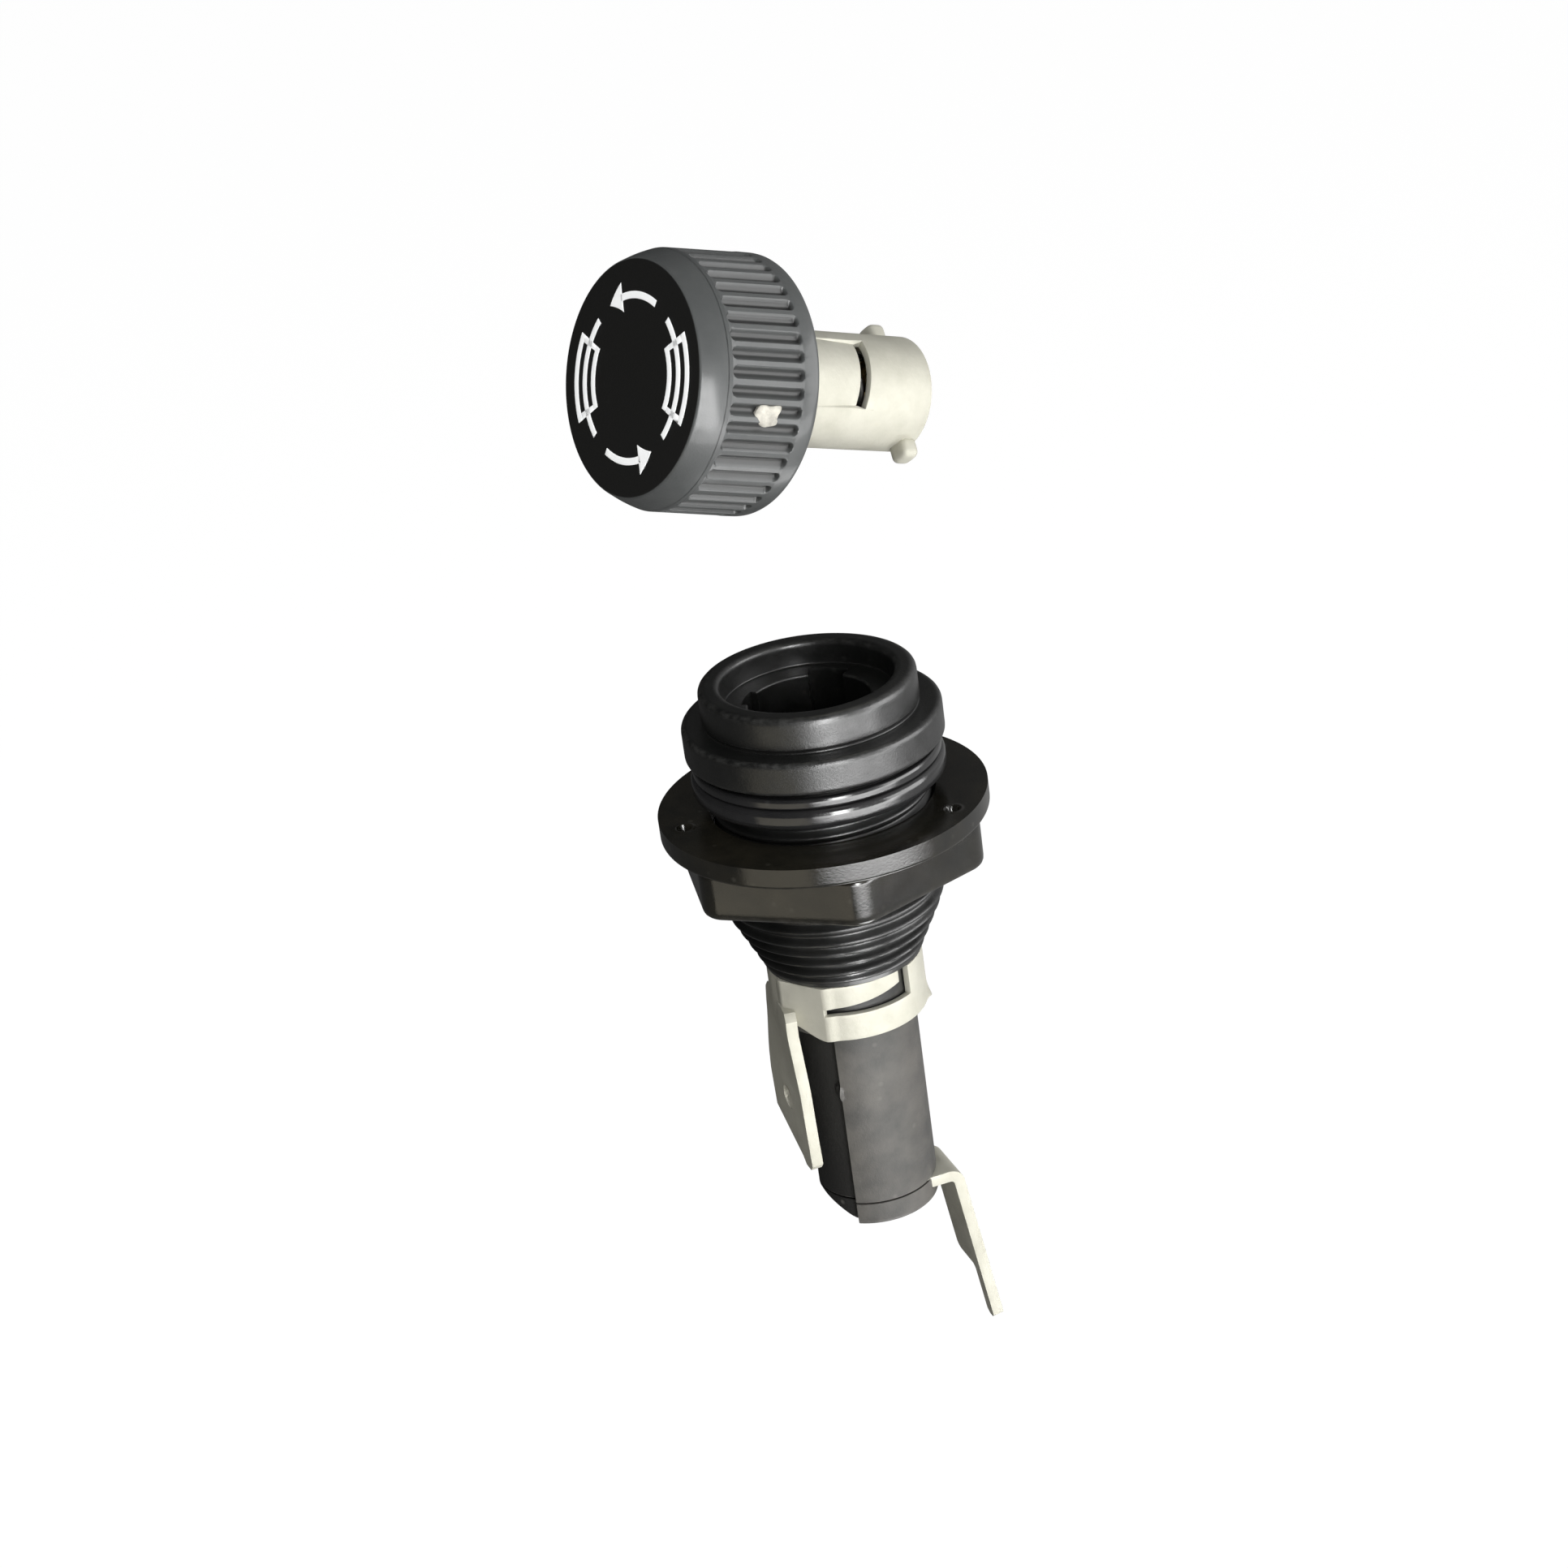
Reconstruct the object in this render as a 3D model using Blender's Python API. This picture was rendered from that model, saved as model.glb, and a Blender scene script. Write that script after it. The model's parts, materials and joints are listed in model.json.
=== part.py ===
"""Panel-mount bayonet fuse holder, shown with its cap taken off.

The holder's axis is +Z with the mouth up. Z = 0 is the underside of the flange,
which seats on the panel. The cap floats above the mouth, tipped over, where it
was put down. Lengths are in millimetres and become metres as a mesh is made.
"""

import math

import bmesh
import bpy
from mathutils import Matrix, Vector

MM = 0.001
AXIS = (0.0, 0.0, 1.0)

# Clearances.
FIT = 0.1  # between two pieces that are fixed together
RUN = 0.25  # between two pieces that slide or turn on each other
SEAT_GAP = 0.15  # between the seated knob and the flange

# Facets.
STEPS = 48  # round a turned piece
KNURL_RIBS = 45
ROD_START = 90.0  # degrees from +X to the first corner of a bar

# The cartridge fuse that the holder takes.
FUSE_D = 6.35
FUSE_L = 31.8
FUSE_IN_CARRIER = 9.25  # how much of the fuse the carrier grips

# Holder body.
FLANGE_R = 8.85
FLANGE_T = 2.3
COLLAR_R = 7.4
COLLAR_H = 2.55
EDGE = 0.25  # eased corners of the collar and the flange
THREAD_R = 7.5
THREAD_DEPTH = 0.45
THREAD_PITCH = 1.0
BARREL_L = 11.8  # from the panel seat to the end of the full thread
TAPER_L = 4.2
TAPER_TIP_R = 5.5
NECK_R = 4.9
NECK_L = 2.4
MOUTH_R = 5.9
MOUTH_DEPTH = 1.75
CHANNEL_R = 4.6  # shallow relief grooves between the two entry slots

# Panel gasket.
GASKET_T = 2.25
GASKET_W = 1.1
GASKET_DROP = 0.35  # how far it hangs below the flange
GASKET_ROUND = 0.45

# Washer and hexagonal nut on the thread.
WASHER_R = 11.3
WASHER_T = 1.45
WASHER_TOP = -4.1
NUT_FLATS = 19.4
NUT_H = 3.4
NUT_CORNER = 1.1  # bevel on the six upright corners
NUT_EASE = 0.4
NUT_TURN = 20.5  # degrees from +X to the first corner
DIMPLE_R = 0.5
DIMPLE_DEPTH = 0.5
DIMPLE_CIRCLE_R = 9.8
DIMPLE_TURN = 17.0  # degrees from +X to the first dimple

# Contact sleeve moulded into the body.
SLEEVE_WALL = 0.35
FUSE_ROOM = 0.325  # round the fuse inside the sleeve and the lower tube

# Side terminal: a ring on the neck with a tab.
RING_T = 0.45
RING_L = 4.1
FACET_DEPTH = 0.22
FACET_TURN = -145.0
SLOT_W = 0.55
SLOT_UP = 2.2  # from the ring's lower edge to the slot
SLOT_START = -127.0
SLOT_END = -66.0
TAB_W = 6.3
TAB_T = 0.8
TAB_TOP_DOWN = 1.2  # from the ring's upper edge to the tab's root
TAB_L = 13.5
TAB_BEND = 6.7  # from the root to the slight bend
TAB_HOLE_R = 0.85
TAB_HOLE_DOWN = 8.8
TAB_CORNER = 0.5
TAB_SLANT = 2.6  # how much shorter the tab's far edge is
TAB_TIP_W = 1.4

# Lower tube, plug and end contact.
TUBE_R = 4.55
GROOVE_DEPTH = 0.35
GROOVE_START = -163.0
GROOVE_SWEEP = 36.0
PLUG_T = 1.7
PLUG_EASE = 0.35
CONTACT_R = 2.6
CONTACT_H = 1.2
CONTACT_RECESS_R = 1.6
CONTACT_RECESS = 0.6
RIVET_R = 0.8
RIVET_HEAD_R = 1.35
RIVET_HEAD_T = 0.35

# End terminal: a bent strip between the tube and the plug.
STRIP_W = 6.3
STRIP_T = 0.8
STRIP_BACK = 2.4  # behind the axis
STRIP_OUT = 0.05  # flat run past the tube before the bend
STRIP_BEND = 0.75
STRIP_DROP = 12.0  # below the bend
STRIP_SPLAY = 1.75  # outward over that drop
ARM_W = 4.2  # of the strip from the bend down
LUG_W = 1.2
LUG_DOWN = 7.6  # from the bend to where the arm narrows to the lug
LUG_CORNER = 0.5
LUG_EASE = 0.35  # off the two corners of its tip

# Knob.
KNOB_L = 8.6
KNOB_R = 8.4
KNOB_TAPER = 0.12  # how much slimmer the front of the grip is
KNURL_DEPTH = 0.22
FACE_R = 7.5
FACE_T = 1.8
SHOULDER_R = 8.05
SHOULDER_H = 1.2
KNURL_FROM_FACE = 1.95
KNURL_FROM_REAR = 1.2
REAR_EASE = 0.35
CAVITY_L = 4.2
BOSS_R = 5.3
BOSS_L = 2.0
SEAL_T = 1.1
INLAY_W = 1.9
INLAY_H = 1.5
INLAY_T = 0.35
INLAY_FROM_FACE = 4.9
INLAY_TURN = -94.0

# Carrier tube in the knob, with its plunger and spring.
CARRIER_WALL = 0.5
CARRIER_REACH = 12.6  # beyond the knob's rear edge
FUSE_GRIP = 0.125  # round the fuse inside the carrier
EAR_REACH = 1.1
EAR_W = 1.8
EAR_H = 1.3
EAR_TURN = 38.0  # degrees from the cap's own X
LOCK_LIFT = 0.9  # free height above the ears when they are locked
LOCK_FLOOR = 0.25
TONGUE_FROM = -102.0
TONGUE_TO = -27.0
TONGUE_ROOT = 1.0  # from the knob's rear edge
TONGUE_L = 5.95
SLIT_W = 0.7
RETAINER_W = 1.1
RETAINER_T = 0.6
PLUNGER_T = 1.6
PLUNGER_INSET = 0.4
PLUNGER_DISH = 0.5
SPRING_R = 2.45
SPRING_WIRE = 0.45
SPRING_TURNS = 9
SPRING_POINTS = 10  # per turn

# Where the cap lies: its axis crosses the holder's axis above the mouth.
CAP_TILT = 70.7
CAP_YAW = 15.4
CAP_CROSS_Z = 25.13
CAP_CROSS_BACK = 2.0  # from the knob's rear edge to the crossing
LIFT_GAP = 0.5  # under the carrier once the cap hangs over the mouth

# Derived sizes.
FUSE_R = FUSE_D / 2
CARRIER_BORE = FUSE_R + FUSE_GRIP
CARRIER_R = CARRIER_BORE + CARRIER_WALL
EAR_R = CARRIER_R + EAR_REACH
RIM_Z = FLANGE_T + COLLAR_H
GUIDE_TOP = RIM_Z - MOUTH_DEPTH
GUIDE_R = CARRIER_R + RUN + FIT
CARRIER_END_SEATED = FLANGE_T + SEAT_GAP - CARRIER_REACH
CHAMBER_FLOOR = CARRIER_END_SEATED - LOCK_FLOOR
CHAMBER_TOP = CARRIER_END_SEATED + EAR_H + LOCK_LIFT
CHAMBER_R = EAR_R + RUN
SLEEVE_BORE = FUSE_R + FUSE_ROOM
SLEEVE_R = SLEEVE_BORE + SLEEVE_WALL
TAPER_END = -BARREL_L - TAPER_L
NECK_END = TAPER_END - NECK_L
RING_TOP = TAPER_END - FIT
RING_END = RING_TOP - RING_L
RING_BORE = NECK_R + FIT
TUBE_TOP = NECK_END - FIT
CONTACT_TOP = CARRIER_END_SEATED + FUSE_IN_CARRIER - FUSE_L
CONTACT_LOW = CONTACT_TOP - CONTACT_H
PLUG_TOP = CONTACT_LOW - FIT
TUBE_END = PLUG_TOP + FIT
PLUG_END = PLUG_TOP - PLUG_T
STRIP_MID = PLUG_TOP - STRIP_T / 2
WASHER_END = WASHER_TOP - WASHER_T
NUT_TOP = WASHER_END - FIT
CARRIER_SEAT = KNOB_L - FACE_T
CARRIER_TOP = CARRIER_SEAT - FIT
SKIRT_BORE = COLLAR_R + RUN


def material(name, colour, roughness, metallic=0.0):
    """A plain Principled material."""
    made = bpy.data.materials.new(name)
    made.use_nodes = True
    shader = made.node_tree.nodes["Principled BSDF"]
    shader.inputs["Base Color"].default_value = (*colour, 1.0)
    shader.inputs["Roughness"].default_value = roughness
    shader.inputs["Metallic"].default_value = metallic
    return made


BLACK = material("black_plastic", (0.022, 0.023, 0.022), 0.38)
GRIP = material("grip_plastic", (0.045, 0.05, 0.052), 0.5)
TUBE = material("tube_plastic", (0.07, 0.068, 0.064), 0.6)
RUBBER = material("gasket_rubber", (0.018, 0.018, 0.02), 0.45)
TIN = material("tinned_metal", (0.72, 0.71, 0.63), 0.3, 1.0)
BRASS = material("brass", (0.68, 0.52, 0.25), 0.3, 1.0)
STEEL = material("spring_steel", (0.55, 0.55, 0.55), 0.3, 1.0)
PALE = material("pale_inlay", (0.62, 0.6, 0.55), 0.5)


def place(name, mesh, finish=None, parent=None):
    """Put a mesh in the scene as one named object."""
    made = bpy.data.objects.new(name, mesh)
    bpy.context.scene.collection.objects.link(made)
    if finish:
        mesh.materials.append(finish)
    made.parent = parent
    return made


def from_bmesh(name, shape, finish=None, parent=None):
    """Finish a shape drawn in millimetres and place it."""
    bmesh.ops.remove_doubles(shape, verts=shape.verts, dist=1e-4)
    bmesh.ops.recalc_face_normals(shape, faces=shape.faces)
    bmesh.ops.scale(shape, vec=(MM, MM, MM), verts=shape.verts)
    mesh = bpy.data.meshes.new(name)
    shape.to_mesh(mesh)
    shape.free()
    mesh.shade_smooth()
    mesh.set_sharp_from_angle(angle=math.radians(30))
    return place(name, mesh, finish, parent)


def drawn(shape, outline, turn=0.0):
    """Draw an outline of (radius, height) points as edges, at an angle about Z."""
    spin = Matrix.Rotation(math.radians(turn), 3, "Z")
    dots = [shape.verts.new(spin @ Vector((r, 0.0, z))) for r, z in outline]
    on_axis = outline[0][0] == 0.0 and outline[-1][0] == 0.0
    pairs = zip(dots, dots[1:] if on_axis else dots[1:] + dots[:1])
    return dots + [shape.edges.new(pair) for pair in pairs]


def turned(outline, steps=STEPS):
    """A solid turned about Z from an outline that is closed or ends on the axis."""
    shape = bmesh.new()
    bmesh.ops.spin(
        shape,
        geom=drawn(shape, outline),
        cent=(0.0, 0.0, 0.0),
        axis=AXIS,
        angle=math.tau,
        steps=steps,
        use_merge=True,
    )
    return shape


def sector(outline, start, sweep):
    """A closed outline swept about Z through part of a turn, in degrees."""
    shape = bmesh.new()
    steps = max(2, round(abs(sweep) / 5))
    bmesh.ops.spin(
        shape,
        geom=drawn(shape, outline, start),
        cent=(0.0, 0.0, 0.0),
        axis=AXIS,
        angle=math.radians(sweep),
        steps=steps,
    )
    rims = [edge for edge in shape.edges if edge.is_boundary]
    bmesh.ops.holes_fill(shape, edges=rims, sides=0)
    return shape


def patch(inner, outer, low, high):
    """The rectangle between two radii and two heights, as an outline."""
    return [(inner, high), (outer, high), (outer, low), (inner, low)]


def block(size, centre, turn=0.0):
    """A box turned about Z after it is placed."""
    shape = bmesh.new()
    matrix = (
        Matrix.Rotation(math.radians(turn), 4, "Z")
        @ Matrix.Translation(centre)
        @ Matrix.Diagonal((*size, 1.0))
    )
    bmesh.ops.create_cube(shape, size=1.0, matrix=matrix)
    return shape


def rod(radius, low, high, matrix=None, segments=16):
    """A round bar along Z between two heights, then moved by a matrix."""
    shape = bmesh.new()
    middle = Matrix.Translation((0.0, 0.0, (low + high) / 2))
    bmesh.ops.create_cone(
        shape,
        cap_ends=True,
        segments=segments,
        radius1=radius,
        radius2=radius,
        depth=high - low,
        matrix=(matrix or Matrix.Identity(4)) @ middle,
    )
    return shape


def combine(target, tool, operation):
    """Keep a boolean on a piece, with its tool out of sight and riding on it."""
    tool.parent = target
    tool.hide_render = True
    tool.display_type = "WIRE"
    step = target.modifiers.new(tool.name, "BOOLEAN")
    step.solver = "EXACT"
    step.operation = operation
    step.object = tool


def cut(target, name, shape):
    """Cut a shape out of a piece."""
    combine(target, from_bmesh(f"cut_{name}", shape), "DIFFERENCE")


def join(target, name, shape):
    """Add a shape to a piece."""
    combine(target, from_bmesh(f"join_{name}", shape), "UNION")


def across(turn, out, height):
    """A matrix that lays a Z bar along the radius at an angle, at a height."""
    return (
        Matrix.Rotation(math.radians(turn), 4, "Z")
        @ Matrix.Translation((out, 0.0, height))
        @ Matrix.Rotation(math.radians(90), 4, "Y")
    )


def thread_outline():
    """Ridges of the full thread and of the run-out below it."""
    points = []
    start = -GASKET_DROP - GASKET_T - FIT
    ridges = int((start + BARREL_L) / THREAD_PITCH)
    for index in range(ridges):
        top = start - index * THREAD_PITCH
        points.append((THREAD_R - THREAD_DEPTH, top - THREAD_PITCH / 4))
        points.append((THREAD_R, top - THREAD_PITCH * 3 / 4))
    turns = int(TAPER_L / THREAD_PITCH)
    for index in range(turns):
        for part, depth in ((0.25, THREAD_DEPTH), (0.75, 0.0)):
            down = (index + part) * TAPER_L / turns
            radius = THREAD_R + (TAPER_TIP_R - THREAD_R) * down / TAPER_L
            points.append((radius - depth, -BARREL_L - down))
    return points


def holder_body():
    """Mouth collar, flange, threaded barrel and neck, with the bayonet bore."""
    outside = [
        (COLLAR_R - EDGE, RIM_Z),
        (COLLAR_R, RIM_Z - EDGE),
        (COLLAR_R, FLANGE_T),
        (FLANGE_R - EDGE, FLANGE_T),
        (FLANGE_R, FLANGE_T - EDGE),
        (FLANGE_R, EDGE),
        (FLANGE_R - EDGE, 0.0),
        (THREAD_R, 0.0),
        (THREAD_R, -GASKET_DROP - GASKET_T),
        *thread_outline(),
        (TAPER_TIP_R, TAPER_END),
        (NECK_R, TAPER_END),
        (NECK_R, NECK_END),
    ]
    pocket = CHAMBER_FLOOR - SLEEVE_WALL - FIT
    inside = [
        (SLEEVE_R + FIT, NECK_END),
        (SLEEVE_R + FIT, pocket),
        (CHAMBER_R + SLEEVE_WALL + FIT, pocket),
        (CHAMBER_R + SLEEVE_WALL + FIT, CHAMBER_TOP),
        (GUIDE_R, CHAMBER_TOP),
        (GUIDE_R, GUIDE_TOP),
        (MOUTH_R - EDGE, GUIDE_TOP),
        (MOUTH_R, GUIDE_TOP + EDGE),
        (MOUTH_R, RIM_Z),
    ]
    body = from_bmesh("holder_body", turned(outside + inside), BLACK)
    height = GUIDE_TOP - CHAMBER_TOP
    middle = (0.0, 0.0, (GUIDE_TOP + CHAMBER_TOP) / 2)
    wide = (2 * (EAR_R + RUN), EAR_W + 2 * RUN, height + 2 * RUN)
    cut(body, "entry_slots", block(wide, middle, CAP_YAW + EAR_TURN))
    slim = (2 * CHANNEL_R, EAR_W, height + 2 * RUN)
    cut(body, "relief_grooves", block(slim, middle, CAP_YAW + EAR_TURN + 90))
    return body


def panel_gasket():
    """Rubber ring round the barrel, under the flange."""
    inner = THREAD_R + FIT
    outer = inner + GASKET_W
    top = -GASKET_DROP
    low = top - GASKET_T
    outline = [
        (inner, top),
        (outer - GASKET_ROUND, top),
        (outer, top - GASKET_ROUND),
        (outer, low + GASKET_ROUND),
        (outer - GASKET_ROUND, low),
        (inner, low),
    ]
    return from_bmesh("panel_gasket", turned(outline), RUBBER)


def nut_washer():
    """Disc that the nut carries against the panel."""
    bore = THREAD_R + RUN
    disc = turned(patch(bore, WASHER_R, WASHER_END, WASHER_TOP))
    washer = from_bmesh("nut_washer", disc, BLACK)
    for index in range(6):
        turn = math.radians(DIMPLE_TURN + 60 * index)
        spot = (DIMPLE_CIRCLE_R * math.cos(turn), DIMPLE_CIRCLE_R * math.sin(turn), 0.0)
        hole = rod(
            DIMPLE_R,
            WASHER_TOP - DIMPLE_DEPTH,
            WASHER_TOP + DIMPLE_DEPTH,
            Matrix.Translation(spot),
            segments=8,
        )
        cut(washer, f"dimple_{index + 1}", hole)
    return washer


def hex_nut():
    """Hexagonal nut with rounded corners."""
    shape = rod(
        NUT_FLATS / 2 / math.cos(math.radians(30)),
        NUT_TOP - NUT_H,
        NUT_TOP,
        Matrix.Rotation(math.radians(NUT_TURN - ROD_START), 4, "Z"),
        segments=6,
    )
    upright = [e for e in shape.edges if abs(e.verts[0].co.z - e.verts[1].co.z) > FIT]
    bmesh.ops.bevel(
        shape,
        geom=upright,
        offset=NUT_CORNER,
        offset_type="OFFSET",
        segments=4,
        profile=0.5,
        affect="EDGES",
    )
    low = NUT_TOP - NUT_H
    rim = [e for e in shape.edges if all(abs(v.co.z - low) < FIT for v in e.verts)]
    bmesh.ops.bevel(
        shape,
        geom=rim,
        offset=NUT_EASE,
        offset_type="OFFSET",
        segments=2,
        profile=0.5,
        affect="EDGES",
    )
    nut = from_bmesh("hex_nut", shape, BLACK)
    bore = rod(THREAD_R + RUN, low - RUN, NUT_TOP + RUN, segments=STEPS)
    cut(nut, "nut_bore", bore)
    return nut


def contact_sleeve():
    """Stepped metal sleeve: the ears lock in its cup and the fuse passes its tube."""
    outline = [
        (CHAMBER_R, CHAMBER_TOP - FIT),
        (CHAMBER_R + SLEEVE_WALL, CHAMBER_TOP - FIT),
        (CHAMBER_R + SLEEVE_WALL, CHAMBER_FLOOR - SLEEVE_WALL),
        (SLEEVE_R, CHAMBER_FLOOR - SLEEVE_WALL),
        (SLEEVE_R, NECK_END),
        (SLEEVE_BORE, NECK_END),
        (SLEEVE_BORE, CHAMBER_FLOOR),
        (CHAMBER_R, CHAMBER_FLOOR),
    ]
    return from_bmesh("contact_sleeve", turned(outline), BRASS)


def side_terminal():
    """Ring on the neck with a spring slot, and the tab that hangs from it."""
    outer = RING_BORE + RING_T
    ring = turned(patch(RING_BORE, outer, RING_END, RING_TOP))
    terminal = from_bmesh("side_terminal", ring, TIN)
    flat = outer - FACET_DEPTH
    facet = block(
        (2 * RING_T, 2 * RING_BORE, RING_L + 2 * RUN),
        (flat + RING_T, 0.0, (RING_TOP + RING_END) / 2),
        FACET_TURN,
    )
    cut(terminal, "ring_facet", facet)
    join(terminal, "tab", tab_plate())
    slot = RING_END + SLOT_UP
    half = SLOT_W / 2
    along = patch(RING_BORE - RING_T, outer + RING_T, slot - half, slot + half)
    cut(terminal, "slot_along", sector(along, SLOT_START, SLOT_END - SLOT_START))
    angle = math.degrees(SLOT_W / outer)
    up = patch(RING_BORE - RING_T, outer + RING_T, slot - half, RING_TOP + RUN)
    cut(terminal, "slot_up", sector(up, SLOT_END - angle, angle))
    spot = across(180.0, RING_BORE + TAB_T / 2, RING_TOP - TAB_TOP_DOWN - TAB_HOLE_DOWN)
    cut(terminal, "tab_hole", rod(TAB_HOLE_R, -TAB_T * 2, TAB_T * 2, spot))
    return terminal


def sheet(rows, thickness):
    """A bent strip: rows of (x, z, near y, far y), given a thickness."""
    shape = bmesh.new()
    pairs = []
    for x, z, near, far in rows:
        pairs.append([shape.verts.new((x, near, z)), shape.verts.new((x, far, z))])
    for (a, b), (c, d) in zip(pairs, pairs[1:]):
        shape.faces.new((a, b, d, c))
    bmesh.ops.recalc_face_normals(shape, faces=shape.faces)
    shape.normal_update()
    half = thickness / 2
    steps = [v.normal * half * v.calc_shell_factor() for v in shape.verts]
    for vert, step in zip(shape.verts, steps):
        vert.co -= step
    bmesh.ops.solidify(shape, geom=shape.faces, thickness=-thickness)
    return shape


def tab_plate():
    """The push-on tab, leaning in towards the tube at its tip."""
    root = RING_TOP - TAB_TOP_DOWN
    top_x = -(RING_BORE + TAB_T / 2)
    tip_x = -(TUBE_R + FIT + TAB_T / 2)
    half = TAB_W / 2
    bend_x = (top_x + tip_x) / 2
    rows = [
        (top_x, root, -half, half),
        (top_x, RING_END, -half, half),
        (bend_x, root - TAB_BEND, -half, half),
        (tip_x, root - TAB_L + TAB_SLANT, -half, half),
        (tip_x, root - TAB_L + TAB_CORNER, -half, -half + TAB_TIP_W + TAB_CORNER),
        (tip_x, root - TAB_L, -half + TAB_CORNER, -half + TAB_TIP_W),
    ]
    return sheet(rows, TAB_T)


def lower_tube():
    """Matte tube that holds the far end of the fuse."""
    outline = [
        (NECK_R, TUBE_TOP),
        (NECK_R, RING_END),
        (TUBE_R, RING_END - FIT),
        (TUBE_R, TUBE_END),
        (SLEEVE_BORE, TUBE_END),
        (SLEEVE_BORE, TUBE_TOP),
    ]
    tube = from_bmesh("lower_tube", turned(outline), TUBE)
    for index, extra in enumerate((0.0, 180.0)):
        deep = patch(TUBE_R - GROOVE_DEPTH, TUBE_R + RUN, TUBE_END - RUN, RING_END - RUN)
        groove = sector(deep, GROOVE_START + extra, GROOVE_SWEEP)
        cut(tube, f"tube_groove_{index + 1}", groove)
    return tube


def end_plug():
    """Plug under the tube, with a channel for the strip and a hole for the rivet."""
    outline = [
        (RIVET_R + FIT, PLUG_TOP),
        (TUBE_R, PLUG_TOP),
        (TUBE_R, PLUG_END + PLUG_EASE),
        (TUBE_R - PLUG_EASE, PLUG_END),
        (RIVET_R + FIT, PLUG_END),
    ]
    plug = from_bmesh("end_plug", turned(outline), TUBE)
    start = -STRIP_BACK - FIT
    length = TUBE_R + RUN - start
    depth = STRIP_T + FIT
    channel = block(
        (length, STRIP_W + 2 * FIT, 2 * depth),
        (start + length / 2, 0.0, PLUG_TOP),
    )
    cut(plug, "strip_channel", channel)
    return plug


def end_terminal():
    """Strip that leaves the tube at its end, bends down and narrows to a lug."""
    half = STRIP_W / 2
    arm = ARM_W - half
    lug = LUG_W - half
    flat = TUBE_R + STRIP_OUT
    low = STRIP_MID - STRIP_BEND
    foot_x = flat + STRIP_BEND
    rows = [(-STRIP_BACK, STRIP_MID, -half, half)]
    for index in range(5):
        angle = math.radians(90 * index / 4)
        x = flat + STRIP_BEND * math.sin(angle)
        z = low + STRIP_BEND * math.cos(angle)
        rows.append((x, z, -half, arm))

    def slope(down):
        return foot_x + STRIP_SPLAY * down / STRIP_DROP

    rows.append((slope(LUG_DOWN), low - LUG_DOWN, -half, arm))
    down = LUG_DOWN + LUG_CORNER
    rows.append((slope(down), low - down, -half, lug))
    down = STRIP_DROP - LUG_EASE
    rows.append((slope(down), low - down, -half, lug))
    rows.append((slope(STRIP_DROP), low - STRIP_DROP, -half + LUG_EASE, lug - LUG_EASE))
    strip = from_bmesh("end_terminal", sheet(rows, STRIP_T), TIN)
    hole = rod(RIVET_R + FIT, STRIP_MID - STRIP_T, STRIP_MID + STRIP_T)
    cut(strip, "strip_hole", hole)
    return strip


def end_contact():
    """Cup that the fuse stands on, riveted through the strip and the plug."""
    outline = [
        (CONTACT_RECESS_R, CONTACT_TOP),
        (CONTACT_R - EDGE, CONTACT_TOP),
        (CONTACT_R, CONTACT_TOP - EDGE),
        (CONTACT_R, CONTACT_LOW),
        (RIVET_R + FIT, CONTACT_LOW),
        (RIVET_R + FIT, CONTACT_TOP - CONTACT_RECESS),
        (CONTACT_RECESS_R, CONTACT_TOP - CONTACT_RECESS),
    ]
    return from_bmesh("end_contact", turned(outline), BRASS)


def end_rivet():
    """Rivet through the end contact, the strip and the plug."""
    top = CONTACT_TOP - CONTACT_RECESS + FIT
    low = PLUG_END - FIT
    outline = [
        (0.0, top + RIVET_HEAD_T),
        (RIVET_HEAD_R, top + RIVET_HEAD_T),
        (RIVET_HEAD_R, top),
        (RIVET_R, top),
        (RIVET_R, low),
        (RIVET_HEAD_R, low),
        (RIVET_HEAD_R, low - RIVET_HEAD_T),
        (0.0, low - RIVET_HEAD_T),
    ]
    return from_bmesh("end_rivet", turned(outline, 24), BRASS)


def knob(frame):
    """Knurled knob: a thick face, a skirt over the collar and a boss for the tube."""
    front = KNOB_R - KNOB_TAPER
    top = KNOB_L - KNURL_FROM_FACE
    low = KNURL_FROM_REAR
    outline = [
        (0.0, KNOB_L),
        (FACE_R, KNOB_L),
        ((FACE_R + 2 * SHOULDER_R) / 3, KNOB_L - SHOULDER_H / 4),
        (SHOULDER_R, KNOB_L - SHOULDER_H),
        (front - KNURL_DEPTH, top + KNURL_DEPTH),
        (front, top),
        (KNOB_R, low),
        (KNOB_R - KNURL_DEPTH, low - KNURL_DEPTH),
        (KNOB_R - REAR_EASE, 0.0),
        (SKIRT_BORE, 0.0),
        (SKIRT_BORE, CAVITY_L),
        (BOSS_R, CAVITY_L),
        (BOSS_R, CAVITY_L - BOSS_L),
        (CARRIER_R + FIT, CAVITY_L - BOSS_L),
        (CARRIER_R + FIT, CARRIER_SEAT),
        (0.0, CARRIER_SEAT),
    ]
    shape = turned(outline, 2 * KNURL_RIBS)
    for vert in shape.verts:
        radius = vert.co.xy.length
        if radius < front - FIT or not low - FIT < vert.co.z < top + FIT:
            continue
        place_round = math.atan2(vert.co.y, vert.co.x) / math.tau * 2 * KNURL_RIBS
        if round(place_round) % 2:
            vert.co.xy *= (radius - KNURL_DEPTH) / radius
    grip = from_bmesh("knob", shape, GRIP, frame)
    cut(grip, "inlay_pocket", inlay_block(FIT))
    return grip


def inlay_block(margin):
    """The index inlay's block, or its pocket when a margin is given."""
    outer = KNOB_R + margin
    inner = KNOB_R - INLAY_T - KNURL_DEPTH / 2 - margin
    middle = KNOB_L - INLAY_FROM_FACE
    half_w = INLAY_W / 2 + margin
    half_h = INLAY_H / 2 + margin
    angle = math.degrees(2 * half_h / KNOB_R)
    outline = patch(inner, outer, middle - half_w, middle + half_w)
    return sector(outline, INLAY_TURN - angle / 2, angle)


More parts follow.
